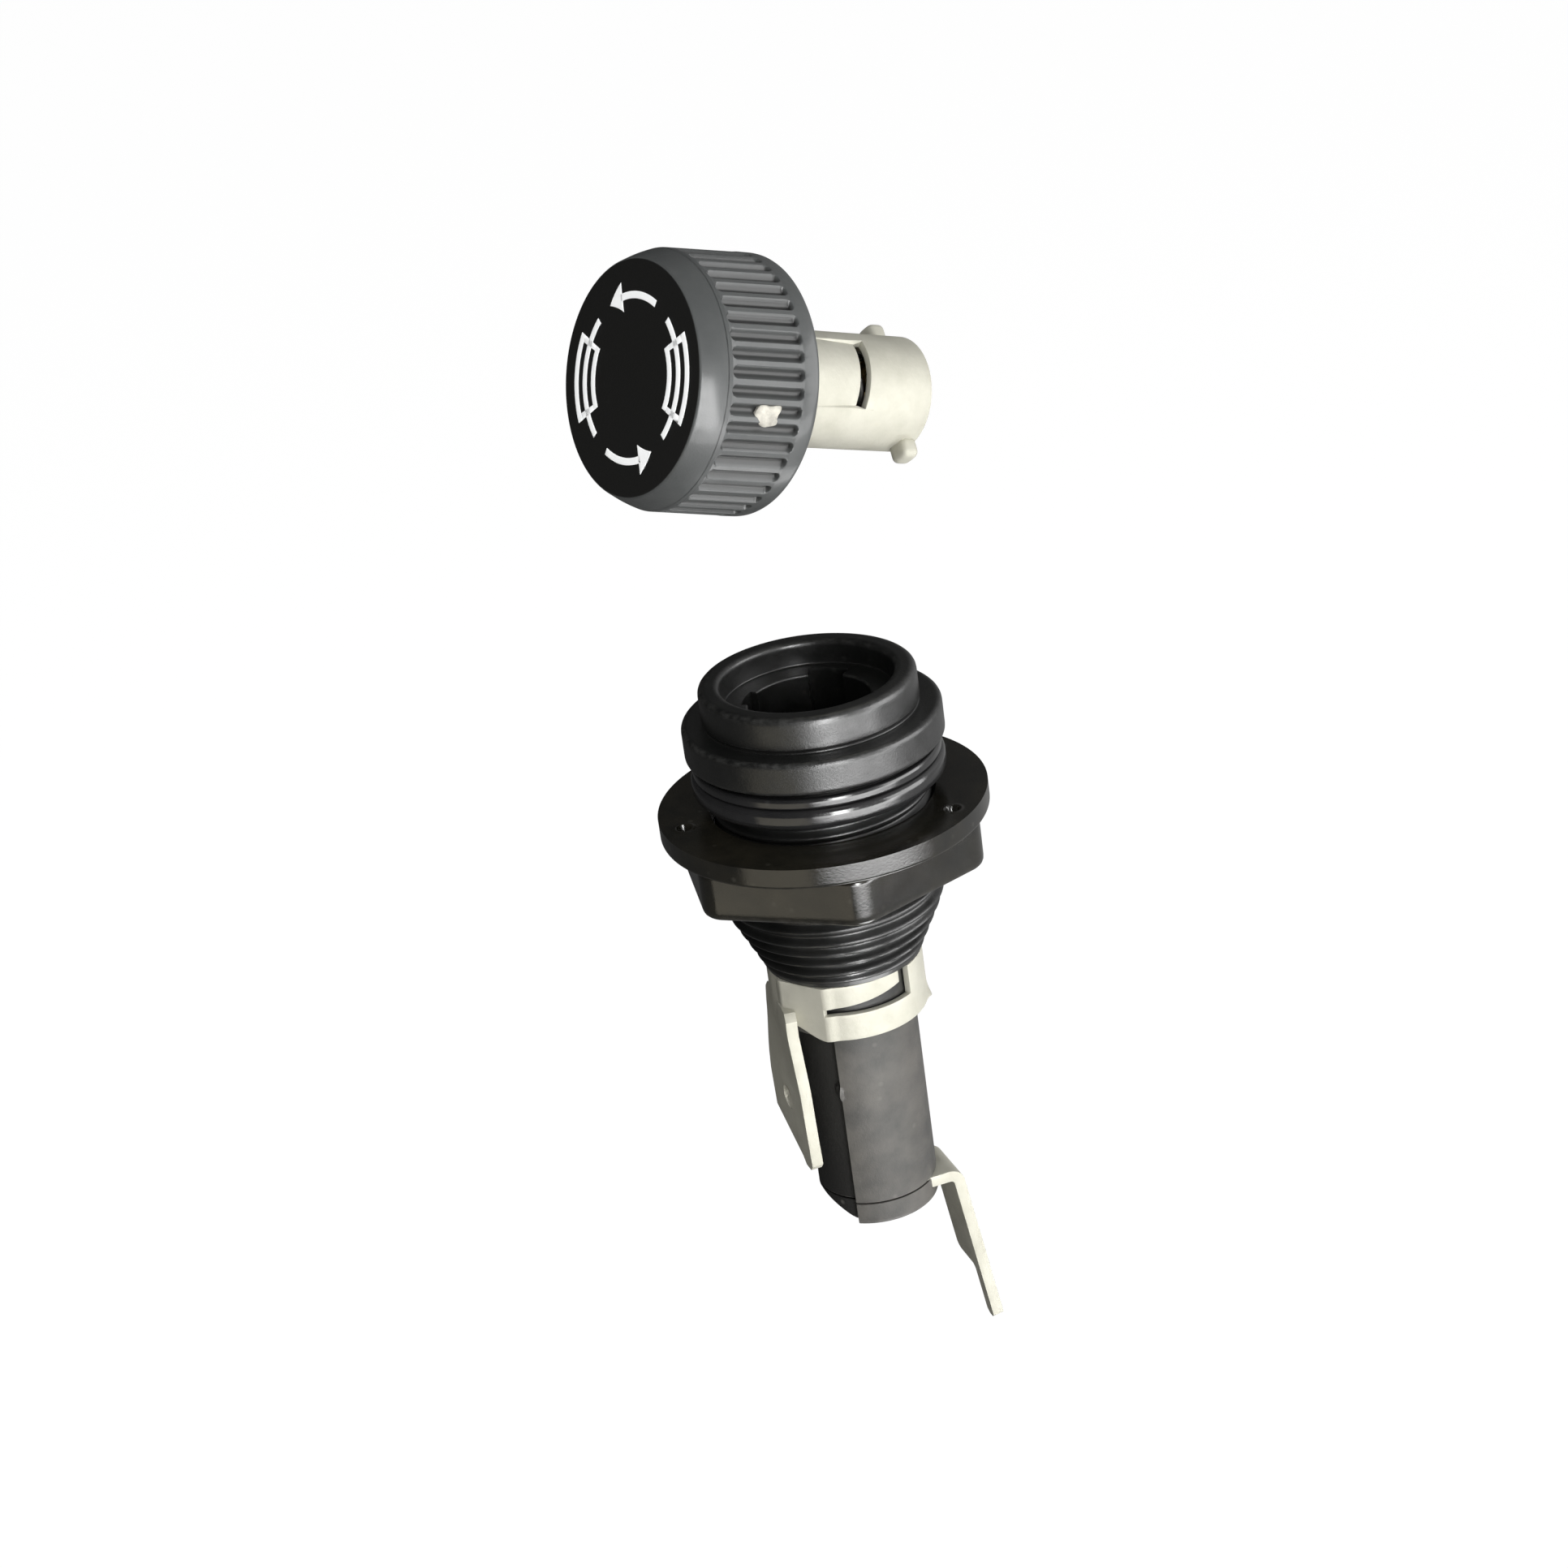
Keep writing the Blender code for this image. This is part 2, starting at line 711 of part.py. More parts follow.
def knob_seal(frame):
    """Rubber washer in the knob that the collar's rim closes on."""
    top = CAVITY_L - FIT
    ring = turned(patch(BOSS_R + FIT, SKIRT_BORE - FIT, top - SEAL_T, top))
    return from_bmesh("knob_seal", ring, RUBBER, frame)


def fuse_carrier(frame):
    """Metal tube that grips the fuse, with a spring tongue and two bayonet ears."""
    end = -CARRIER_REACH
    outline = [
        (0.0, CARRIER_TOP),
        (CARRIER_R, CARRIER_TOP),
        (CARRIER_R, end),
        (CARRIER_BORE, end),
        (CARRIER_BORE, CARRIER_TOP - CARRIER_WALL),
        (0.0, CARRIER_TOP - CARRIER_WALL),
    ]
    carrier = from_bmesh("fuse_carrier", turned(outline), TIN, frame)
    wide = math.degrees(EAR_W / EAR_R)
    inner = CARRIER_BORE + CARRIER_WALL / 2
    for index, extra in enumerate((0.0, 180.0)):
        ear = patch(inner, EAR_R, end, end + EAR_H)
        start = EAR_TURN + extra - wide / 2
        join(carrier, f"ear_{index + 1}", sector(ear, start, wide))
    through = (CARRIER_BORE - CARRIER_WALL, CARRIER_R + CARRIER_WALL)
    tip = -TONGUE_ROOT - TONGUE_L
    angle = math.degrees(SLIT_W / CARRIER_R)
    across_tip = patch(*through, tip - SLIT_W, tip)
    sweep = TONGUE_TO - TONGUE_FROM
    cut(carrier, "tongue_tip", sector(across_tip, TONGUE_FROM, sweep))
    side = patch(*through, tip - SLIT_W, -TONGUE_ROOT)
    cut(carrier, "tongue_side_1", sector(side, TONGUE_FROM, angle))
    cut(carrier, "tongue_side_2", sector(side, TONGUE_TO - angle, angle))
    return carrier


def carrier_retainer(frame):
    """Push-on ring that keeps the carrier in the knob's boss."""
    top = CAVITY_L - BOSS_L - FIT
    inner = CARRIER_R + FIT
    ring = turned(patch(inner, inner + RETAINER_W, top - RETAINER_T, top))
    return from_bmesh("carrier_retainer", ring, STEEL, frame)


def carrier_plunger(frame):
    """Sprung contact that presses on the fuse's end."""
    low = -CARRIER_REACH + PLUNGER_INSET
    radius = CARRIER_BORE - RUN
    outline = [
        (0.0, low + PLUNGER_T),
        (radius, low + PLUNGER_T),
        (radius, low),
        (radius - PLUNGER_DISH, low),
        (radius - 2 * PLUNGER_DISH, low + PLUNGER_DISH),
        (0.0, low + PLUNGER_DISH),
    ]
    return from_bmesh("carrier_plunger", turned(outline), BRASS, frame)


def carrier_spring(frame):
    """Coil spring behind the plunger, as one unbroken tube."""
    low = -CARRIER_REACH + PLUNGER_INSET + PLUNGER_T + FIT + SPRING_WIRE / 2
    high = CARRIER_TOP - CARRIER_WALL - FIT - SPRING_WIRE / 2
    count = SPRING_TURNS * SPRING_POINTS
    points = []
    for index in range(count + 1):
        angle = math.tau * index / SPRING_POINTS
        height = low + (high - low) * index / count
        points.append(
            Vector((SPRING_R * math.cos(angle), SPRING_R * math.sin(angle), height))
        )
    apart = min(
        (points[b] - points[a]).length
        for a in range(count)
        for b in range(a + SPRING_POINTS // 2, count + 1)
    )
    print(f"carrier_spring least gap to itself: {apart - SPRING_WIRE:.2f} mm")
    curve = bpy.data.curves.new("carrier_spring", "CURVE")
    curve.dimensions = "3D"
    curve.bevel_depth = SPRING_WIRE / 2 * MM
    curve.bevel_resolution = 1
    curve.use_fill_caps = True
    line = curve.splines.new("POLY")
    line.points.add(count)
    for dot, point in zip(line.points, points):
        dot.co = (*(point * MM), 1.0)
    return place("carrier_spring", curve, STEEL, frame)


def cap_frame():
    """Empties that tip the cap over the mouth: a pivot, and the cap's own axis."""
    raised = RIM_Z + LIFT_GAP + CARRIER_REACH
    raised_cross = raised - CAP_CROSS_BACK
    pivot_z = (CAP_CROSS_Z + raised_cross) / 2
    arm = (CAP_CROSS_Z - pivot_z) / math.tan(math.radians(CAP_TILT / 2))
    yaw = math.radians(CAP_YAW)
    pivot = place("cap_pivot", None)
    pivot.location = (-arm * math.cos(yaw) * MM, -arm * math.sin(yaw) * MM, pivot_z * MM)
    pivot.rotation_euler = (0.0, -math.radians(CAP_TILT), yaw)
    frame = place("cap_axis", None, parent=pivot)
    frame.location = (arm * MM, 0.0, (raised - pivot_z) * MM)
    return frame


def build():
    """Make every piece of the holder and of its cap."""
    for stale in list(bpy.data.objects):
        bpy.data.objects.remove(stale, do_unlink=True)
    holder_body()
    panel_gasket()
    nut_washer()
    hex_nut()
    contact_sleeve()
    side_terminal()
    lower_tube()
    end_plug()
    end_terminal()
    end_contact()
    end_rivet()
    frame = cap_frame()
    knob(frame)
    from_bmesh("index_inlay", inlay_block(0.0), PALE, frame)
    knob_seal(frame)
    fuse_carrier(frame)
    carrier_retainer(frame)
    carrier_plunger(frame)
    carrier_spring(frame)


build()
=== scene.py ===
"""Looks of a panel-mount bayonet fuse holder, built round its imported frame.

Lengths are in millimetres and become metres as a mesh is made. The holder's
axis is Z with the mouth up. The cap has a frame of its own, taken from its
joints: Z runs from the knob's rear edge to its face.
"""

import json
import logging
from collections.abc import Callable, Sequence
from dataclasses import dataclass, field
from enum import Enum

import bmesh
import bpy
import numpy as np
from mathutils import Matrix


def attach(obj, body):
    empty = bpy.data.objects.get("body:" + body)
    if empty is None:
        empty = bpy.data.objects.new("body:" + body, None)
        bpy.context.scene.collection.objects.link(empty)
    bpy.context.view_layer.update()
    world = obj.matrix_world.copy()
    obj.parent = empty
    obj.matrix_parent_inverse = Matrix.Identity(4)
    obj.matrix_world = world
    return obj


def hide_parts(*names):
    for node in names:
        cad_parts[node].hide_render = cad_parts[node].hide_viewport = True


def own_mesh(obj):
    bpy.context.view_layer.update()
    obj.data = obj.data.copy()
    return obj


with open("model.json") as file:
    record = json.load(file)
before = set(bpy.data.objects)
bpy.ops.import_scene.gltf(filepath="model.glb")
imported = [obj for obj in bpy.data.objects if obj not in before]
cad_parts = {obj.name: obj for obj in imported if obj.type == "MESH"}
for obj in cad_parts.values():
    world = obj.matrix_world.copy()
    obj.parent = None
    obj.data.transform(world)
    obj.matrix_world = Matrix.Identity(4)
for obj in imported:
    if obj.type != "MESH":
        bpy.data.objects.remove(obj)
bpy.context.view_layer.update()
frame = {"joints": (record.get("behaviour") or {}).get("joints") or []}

LOG = logging.getLogger("fuse_holder")
MM = 0.001
MERGE = 1e-7  # metres between points that count as one
NEAR = 1e-6  # millimetres between sizes that count as one
SLACK = 0.01  # millimetres that tell the walls of one grid apart
SHARP = np.radians(32.0)  # steeper creases are shaded as edges
EASED = np.radians(40.0)  # steeper edges of a sheet are bevelled
STEP_COLUMNS = (-0.35, -0.12, 0.12, 0.35)  # degrees from a step to the columns beside it
FLAT_SHARE = 0.3  # of a corner's reach, out to the point that keeps the flat beside it flat
COAT_ROUGHNESS = 0.16
BUMP_HEIGHT = 0.0001  # metres

Array = np.ndarray
Outline = tuple[Array, Array]
Warp = Callable[[Array, Array, Array], tuple[Array, Array]]
Colour = tuple[float, float, float]
Span = tuple[float, float]
Piece = bpy.types.Object
Tree = bpy.types.NodeTree
Node = bpy.types.Node
Socket = bpy.types.NodeSocket


def unit(vectors: Array) -> Array:
    """Each vector divided by its length; a zero vector stays zero."""
    size = np.linalg.norm(vectors, axis=-1, keepdims=True)
    return vectors / np.where(size > 0, size, 1.0)


def ease(low: float, high: float, value: Array) -> Array:
    """Rise from 0 to 1 as 3t^2 - 2t^3, with t the share of the way from low to high."""
    t = np.clip((value - low) / (high - low), 0.0, 1.0)
    return t * t * (3.0 - 2.0 * t)


def quarter_round(way: Array) -> Array:
    """Rise from 0 to 1 on a quarter circle: 1 - sqrt(1 - t^2), with t the way held to 0 and 1."""
    return 1.0 - np.sqrt(1.0 - np.clip(way, 0.0, 1.0) ** 2)


def short_way(degrees: Array) -> Array:
    """The same angles, between -180 and 180 degrees."""
    return (degrees + 180.0) % 360.0 - 180.0


def apart(angles: Array, centre: float) -> Array:
    """Degrees from a centre to each angle in radians, the short way round."""
    return short_way(np.degrees(angles) - centre)


def window(angles: Array, start: float, stop: float, soft: float = 0.3) -> Array:
    """1 between two angles in degrees and 0 elsewhere, eased over a few tenths."""
    half = (stop - start) / 2.0
    return 1.0 - ease(half - soft, half + soft, np.abs(apart(angles, (start + stop) / 2.0)))


def round_angles(count: int, *steps: float) -> Array:
    """Angles of a full turn in radians, closer together at some steps in degrees.

    Args:
        count: Even angles in the turn.
        steps: Angles in degrees where the surface steps.

    Returns:
        Sorted angles, from -pi up to pi.
    """
    even = np.linspace(-180.0, 180.0, count, endpoint=False)
    near = np.add.outer(np.asarray(steps, float), STEP_COLUMNS).ravel()
    return np.radians(np.unique(np.round(short_way(np.concatenate([even, near])), 4)))


def marked_degrees(count: int, marks: Sequence[float]) -> Array:
    """Sorted degrees of a full turn: even ones, with some marks among them."""
    even = np.linspace(-180.0, 180.0, count, endpoint=False)
    return np.unique(np.round([*marks, *even], 4))


def halfway(degrees: Array) -> Array:
    """The angle midway from each column to the next, all the way round."""
    return degrees + np.diff(np.append(degrees, degrees[0] + 360.0)) / 2.0


def polar(radius: Array, angles: Array, height: Array | float) -> Array:
    """The grid of points (r cos a, r sin a, z), with each value spread over the grid."""
    return np.stack(np.broadcast_arrays(radius * np.cos(angles), radius * np.sin(angles), height), axis=-1)


def straight(radius: Array | float, height: Array | float) -> Outline:
    """An unworn stretch of outline through radii and heights."""
    points = np.stack(np.broadcast_arrays(radius, height), axis=1)
    return points, np.zeros(len(points))


def joined(*parts: Outline) -> Outline:
    """One outline of several stretches, end to end."""
    points, edges = zip(*parts)
    return np.concatenate(points), np.concatenate(edges)


def rounded(corners: Sequence[tuple[float, float, float]], closed: bool = True, steps: int = 6) -> Outline:
    """Ease the corners of an outline.

    A corner p gives way to the curve (1-t)^2 a + 2t(1-t) p + t^2 b, where a and
    b lie at the corner's reach along its two sides. One more point beyond each
    of them keeps the flats flat.

    Args:
        corners: Radius, height and reach of each corner, in order.
        closed: Whether the last corner joins the first.
        steps: Points on each eased corner.

    Returns:
        The outline's points, and edge values that are 1 midway round each outward corner.
    """
    given = np.asarray(corners, float)
    spot, reach = given[:, :2], given[:, 2]
    side = np.roll(spot, -1, axis=0) - spot
    if not closed:
        side[-1] = 0.0
    length = np.linalg.norm(side, axis=1)
    ahead = unit(side)
    behind = -np.roll(ahead, 1, axis=0)
    spare = np.clip(length - reach - np.roll(reach, -1), 0.0, None)
    past = np.minimum(reach, spare)[:, None] * FLAT_SHARE
    before = np.minimum(reach, np.roll(spare, 1))[:, None] * FLAT_SHARE
    start = spot + behind * reach[:, None]
    stop = spot + ahead * reach[:, None]
    t = np.linspace(0.0, 1.0, steps)[None, :, None]
    bend = (1 - t) ** 2 * start[:, None] + 2 * t * (1 - t) * spot[:, None] + t**2 * stop[:, None]
    parts = [(start + behind * before)[:, None], bend, (stop + ahead * past)[:, None]]
    points = np.concatenate(parts, axis=1).reshape(-1, 2)
    turn = behind[:, 1] * ahead[:, 0] - behind[:, 0] * ahead[:, 1]
    area = np.sum(spot[:, 0] * np.roll(spot[:, 1], -1) - spot[:, 1] * np.roll(spot[:, 0], -1))
    outward = (turn * area > 0) & (reach > 0)
    worn = np.pad(4 * t[0, :, 0] * (1 - t[0, :, 0]), 1)
    return points, (outward[:, None] * worn[None]).ravel()


@dataclass(frozen=True)
class Place:
    """A frame of its own: an origin in millimetres, and axes as the rows of a matrix."""

    origin: Array
    axes: Array

    def put(self, points: Array) -> Array:
        """Points of this frame in the row frame: origin + x X + y Y + z Z."""
        return self.origin + points @ self.axes


@dataclass
class Surface:
    """A grid of points with what its faces and its finish need."""

    points: Array
    edge: Array | float = 0.0
    # share of the knob face's own dark tone, and of painted shade in grooves and recesses, at each point
    dark_face_and_painted_shade: Array | float = 0.0
    across: bool = True  # the last column meets the first
    along: bool = False  # the last row meets the first
    keep: Array | None = None

    def faces(self) -> Array:
        """Join neighbours in the grid into four-sided faces.

        Returns:
            Point numbers of each face that is kept.
        """
        rows, columns = self.points.shape[:2]
        number = np.arange(rows * columns).reshape(rows, columns)
        if self.across:
            number = np.concatenate([number, number[:, :1]], axis=1)
        if self.along:
            number = np.concatenate([number, number[:1]], axis=0)
        corners = (number[:-1, :-1], number[:-1, 1:], number[1:, 1:], number[1:, :-1])
        quads = np.stack(corners, axis=-1)
        return quads[self.keep] if self.keep is not None else quads.reshape(-1, 4)

    def layer(self, values: Array | float) -> Array:
        """One value for each point of the grid."""
        return np.broadcast_to(values, self.points.shape[:2]).ravel()


def turned(outline: Outline, angles: Array, warp: Warp | None = None, along: bool = True) -> Surface:
    """Carry an outline round Z: the point (r cos a, r sin a, z) at every angle a.

    Args:
        outline: Points of radius and height, with their edge values.
        angles: Angles of the columns, in radians.
        warp: Changes the radii and heights, knowing the angles.
        along: Whether the outline closes on itself.

    Returns:
        The turned surface.
    """
    points, edge = outline
    radius = np.repeat(points[:, :1], len(angles), axis=1)
    height = np.repeat(points[:, 1:], len(angles), axis=1)
    if warp:
        radius, height = warp(radius, height, angles[None])
    return Surface(polar(radius, angles, height), edge[:, None], along=along)


def ring(radii: Span, heights: Span, reach: float) -> Outline:
    """A ring's outline: a rectangle of two radii and two heights with eased corners."""
    (inner, outer), (low, high) = radii, heights
    return rounded([(inner, low, reach), (outer, low, reach), (outer, high, reach), (inner, high, reach)])


@dataclass(frozen=True)
class Wall:
    """Thickness of a piece of sheet, and how far its edges are eased."""

    thick: float
    eased: float


def shaped(name: str, surfaces: Sequence[Surface], place: Place, wall: Wall | None) -> Piece:
    """Make one object from grids of points.

    Args:
        name: The object's name.
        surfaces: Grids in the place's own frame, in millimetres.
        place: Where they go.
        wall: Thickness to give a sheet, or None for a closed shape.

    Returns:
        The object, at the origin with its place in its mesh.
    """
    counts = [surface.points.shape[0] * surface.points.shape[1] for surface in surfaces]
    starts = np.cumsum([0, *counts[:-1]])
    quads = np.concatenate([s.faces() + start for s, start in zip(surfaces, starts)])
    used, faces = np.unique(quads, return_inverse=True)
    points = np.concatenate([place.put(s.points.reshape(-1, 3)) for s in surfaces]) * MM
    mesh = bpy.data.meshes.new(name)
    mesh.from_pydata(points[used].tolist(), [], faces.reshape(-1, 4).tolist())
    for layer in ("edge", "dark_face_and_painted_shade"):
        values = np.concatenate([s.layer(getattr(s, layer)) for s in surfaces])[used]
        mesh.attributes.new(layer, "FLOAT", "POINT").data.foreach_set("value", values.astype(np.float32))
    shape = bmesh.new()
    shape.from_mesh(mesh)
    bmesh.ops.remove_doubles(shape, verts=shape.verts, dist=MERGE)
    bmesh.ops.dissolve_degenerate(shape, edges=shape.edges, dist=MERGE)
    bmesh.ops.recalc_face_normals(shape, faces=shape.faces)
    shape.to_mesh(mesh)
    shape.free()
    made = bpy.data.objects.new(name, mesh)
    bpy.context.scene.collection.objects.link(made)
    if wall:
        thicken(made, wall)
    made.data.shade_smooth()
    made.data.set_sharp_from_angle(angle=SHARP)
    return made


def thicken(sheet: Piece, wall: Wall) -> None:
    """Give a sheet its wall, half to either side, with eased edges, and keep the result as its mesh.

    Args:
        sheet: The object with the sheet's middle surface.
        wall: Its thickness and the width of its eased edges.
    """
    solid = sheet.modifiers.new("wall", "SOLIDIFY")
    solid.thickness = wall.thick * MM
    solid.offset = 0.0
    solid.use_even_offset = True
    bevel = sheet.modifiers.new("eased", "BEVEL")
    bevel.width = wall.eased * MM
    bevel.segments = 2
    bevel.limit_method = "ANGLE"
    bevel.angle_limit = EASED
    graph = bpy.context.evaluated_depsgraph_get()
    made = bpy.data.meshes.new_from_object(sheet.evaluated_get(graph))
    sheet.modifiers.clear()
    plain, sheet.data = sheet.data, made
    bpy.data.meshes.remove(plain)
    made.name = sheet.name


class Effect(Enum):
    """Surface effects that several finishes share; each is a node group."""

    MOTTLE = "uneven_tone"
    GLOSS = "uneven_gloss"
    GRAIN = "moulded_grain"
    WEAR = "edge_wear"
    SPECKS = "pale_specks"


class Kind(Enum):
    """What a group's socket holds."""

    VALUE = "NodeSocketFloat"
    COLOUR = "NodeSocketColor"


class Sum(Enum):
    """What a Math node makes of its two values."""

    TIMES = "MULTIPLY"
    PLUS = "ADD"
    ABOVE = "GREATER_THAN"


def wire(tree: Tree, kind: str, inputs: dict[str | int, object] | None = None, **settings: object) -> Node:
    """Add a node to a tree.

    Args:
        tree: The node tree.
        kind: The node's type.
        inputs: A value or another node's output for some of its sockets.
        settings: The node's own settings.

    Returns:
        The new node.
    """
    node = tree.nodes.new(kind)
    for key, value in settings.items():
        setattr(node, key, value)
    for key, value in (inputs or {}).items():
        if isinstance(value, Socket):
            tree.links.new(value, node.inputs[key])
        else:
            node.inputs[key].default_value = value
    return node


def reckon(tree: Tree, one: Socket, how: Sum, other: Socket | float, clamp: bool = False) -> Socket:
    """The result of two values, held between 0 and 1 if asked."""
    return wire(tree, "ShaderNodeMath", {0: one, 1: other}, operation=how.value, use_clamp=clamp).outputs[0]


def rescale(tree: Tree, value: Socket, reach: Span, level: tuple[object, object] = (0.0, 1.0)) -> Socket:
    """A value moved from one range to another, and held there."""
    ends = {"From Min": reach[0], "From Max": reach[1], "To Min": level[0], "To Max": level[1]}
    return wire(tree, "ShaderNodeMapRange", {"Value": value, **ends}).outputs[0]


def noise(tree: Tree, spot: Socket, scale: Socket | float, detail: float, rough: float = 0.5) -> Socket:
    """A soft noise over the surface."""
    inputs = {"Vector": spot, "Scale": scale, "Detail": detail, "Roughness": rough}
    return wire(tree, "ShaderNodeTexNoise", inputs).outputs[0]


def blend(tree: Tree, share: Socket, one: Socket, other: Socket | tuple[float, ...]) -> Socket:
    """The colour a share of the way from one colour to another."""
    return wire(tree, "ShaderNodeMix", {0: share, 6: one, 7: other}, data_type="RGBA").outputs[2]


def attribute(tree: Tree, name: str) -> Socket:
    """A value that the mesh holds at its points."""
    return wire(tree, "ShaderNodeAttribute", attribute_name=name, attribute_type="GEOMETRY").outputs["Fac"]


@dataclass
class Effects:
    """The shared node groups, each built once."""

    made: dict[Effect, Tree] = field(default_factory=dict)

    def get(self, effect: Effect) -> Tree:
        """Find an effect's node group, and build it on its first use.

        Args:
            effect: Which effect.

        Returns:
            The node group.
        """
        if effect not in self.made:
            build = {
                Effect.MOTTLE: self.mottle,
                Effect.GLOSS: self.gloss,
                Effect.GRAIN: self.grain,
                Effect.WEAR: self.wear,
                Effect.SPECKS: self.specks,
            }
            self.made[effect] = build[effect]()
        return self.made[effect]

    def start(
        self, effect: Effect, output: str, kind: Kind, values: Sequence[str], colours: Sequence[str] = ()
    ) -> tuple[Tree, bpy.types.NodeOutputs, Socket]:
        """Begin a node group.

        Args:
            effect: Which effect it is.
            output: Name of what it puts out.
            kind: What that output holds.
            values: Names of its inputs that hold a value.
            colours: Names of its inputs that hold a colour.

        Returns:
            The group, what is given to it, and the socket of Object coordinates.
        """
        tree = bpy.data.node_groups.new(effect.value, "ShaderNodeTree")
        for names, held in ((colours, Kind.COLOUR), (values, Kind.VALUE)):
            for name in names:
                tree.interface.new_socket(name, in_out="INPUT", socket_type=held.value)
        tree.interface.new_socket(output, in_out="OUTPUT", socket_type=kind.value)
        given = wire(tree, "NodeGroupInput").outputs
        return tree, given, wire(tree, "ShaderNodeTexCoord").outputs["Object"]

    def finish(self, tree: Tree, value: Socket) -> Tree:
        """Close a node group with the value it puts out."""
        wire(tree, "NodeGroupOutput", {0: value})
        return tree

    def mottle(self) -> Tree:
        """Drift between two tones with a soft noise.

        Returns:
            The group, which puts out a colour.
        """
        inputs = ("Amount", "Scale"), ("Tone", "Other")
        tree, given, spot = self.start(Effect.MOTTLE, "Colour", Kind.COLOUR, *inputs)
        drift = rescale(tree, noise(tree, spot, given["Scale"], 4.0, 0.6), (0.36, 0.66))
        share = reckon(tree, drift, Sum.TIMES, given["Amount"])
        return self.finish(tree, blend(tree, share, given["Tone"], given["Other"]))

    def gloss(self) -> Tree:
        """Drift between two roughnesses with a noise.

        Returns:
            The group, which puts out a roughness.
        """
        tree, given, spot = self.start(Effect.GLOSS, "Roughness", Kind.VALUE, ("Low", "High", "Scale"))
        drift = noise(tree, spot, given["Scale"], 5.0, 0.65)
        return self.finish(tree, rescale(tree, drift, (0.35, 0.65), (given["Low"], given["High"])))

    def grain(self) -> Tree:
        """Lay a fine grain over a slow waviness.

        Returns:
            The group, which puts out a height.
        """
        tree, given, spot = self.start(Effect.GRAIN, "Height", Kind.VALUE, ("Scale", "Waves"))
        fine = noise(tree, spot, given["Scale"], 3.0, 0.7)
        slow = noise(tree, spot, 420.0, 2.0)
        wavy = reckon(tree, slow, Sum.TIMES, given["Waves"])
        return self.finish(tree, reckon(tree, fine, Sum.PLUS, wavy))

    def wear(self) -> Tree:
        """Find the rubbed edges: the mesh's edge values, broken up by a noise.

        Returns:
            The group, which puts out a mask.
        """
        tree, given, spot = self.start(Effect.WEAR, "Mask", Kind.VALUE, ("Amount", "Scale"))
        broken = rescale(tree, noise(tree, spot, given["Scale"], 4.0, 0.7), (0.38, 0.62))
        rubbed = reckon(tree, attribute(tree, "edge"), Sum.TIMES, broken)
        return self.finish(tree, reckon(tree, rubbed, Sum.TIMES, given["Amount"], clamp=True))

    def specks(self) -> Tree:
        """Scatter small specks: points nearer than a radius to the centres of some cells.

        Returns:
            The group, which puts out a mask.
        """
        tree, given, spot = self.start(Effect.SPECKS, "Mask", Kind.VALUE, ("Amount", "Scale"))
        cells = wire(tree, "ShaderNodeTexVoronoi", {"Vector": spot, "Scale": given["Scale"]})
        dot = rescale(tree, cells.outputs["Distance"], (0.22, 0.08))
        chosen = wire(tree, "ShaderNodeSeparateColor", {0: cells.outputs["Color"]}).outputs[0]
        both = reckon(tree, dot, Sum.TIMES, reckon(tree, chosen, Sum.ABOVE, 0.72))
        return self.finish(tree, reckon(tree, both, Sum.TIMES, given["Amount"], clamp=True))


EFFECTS = Effects()


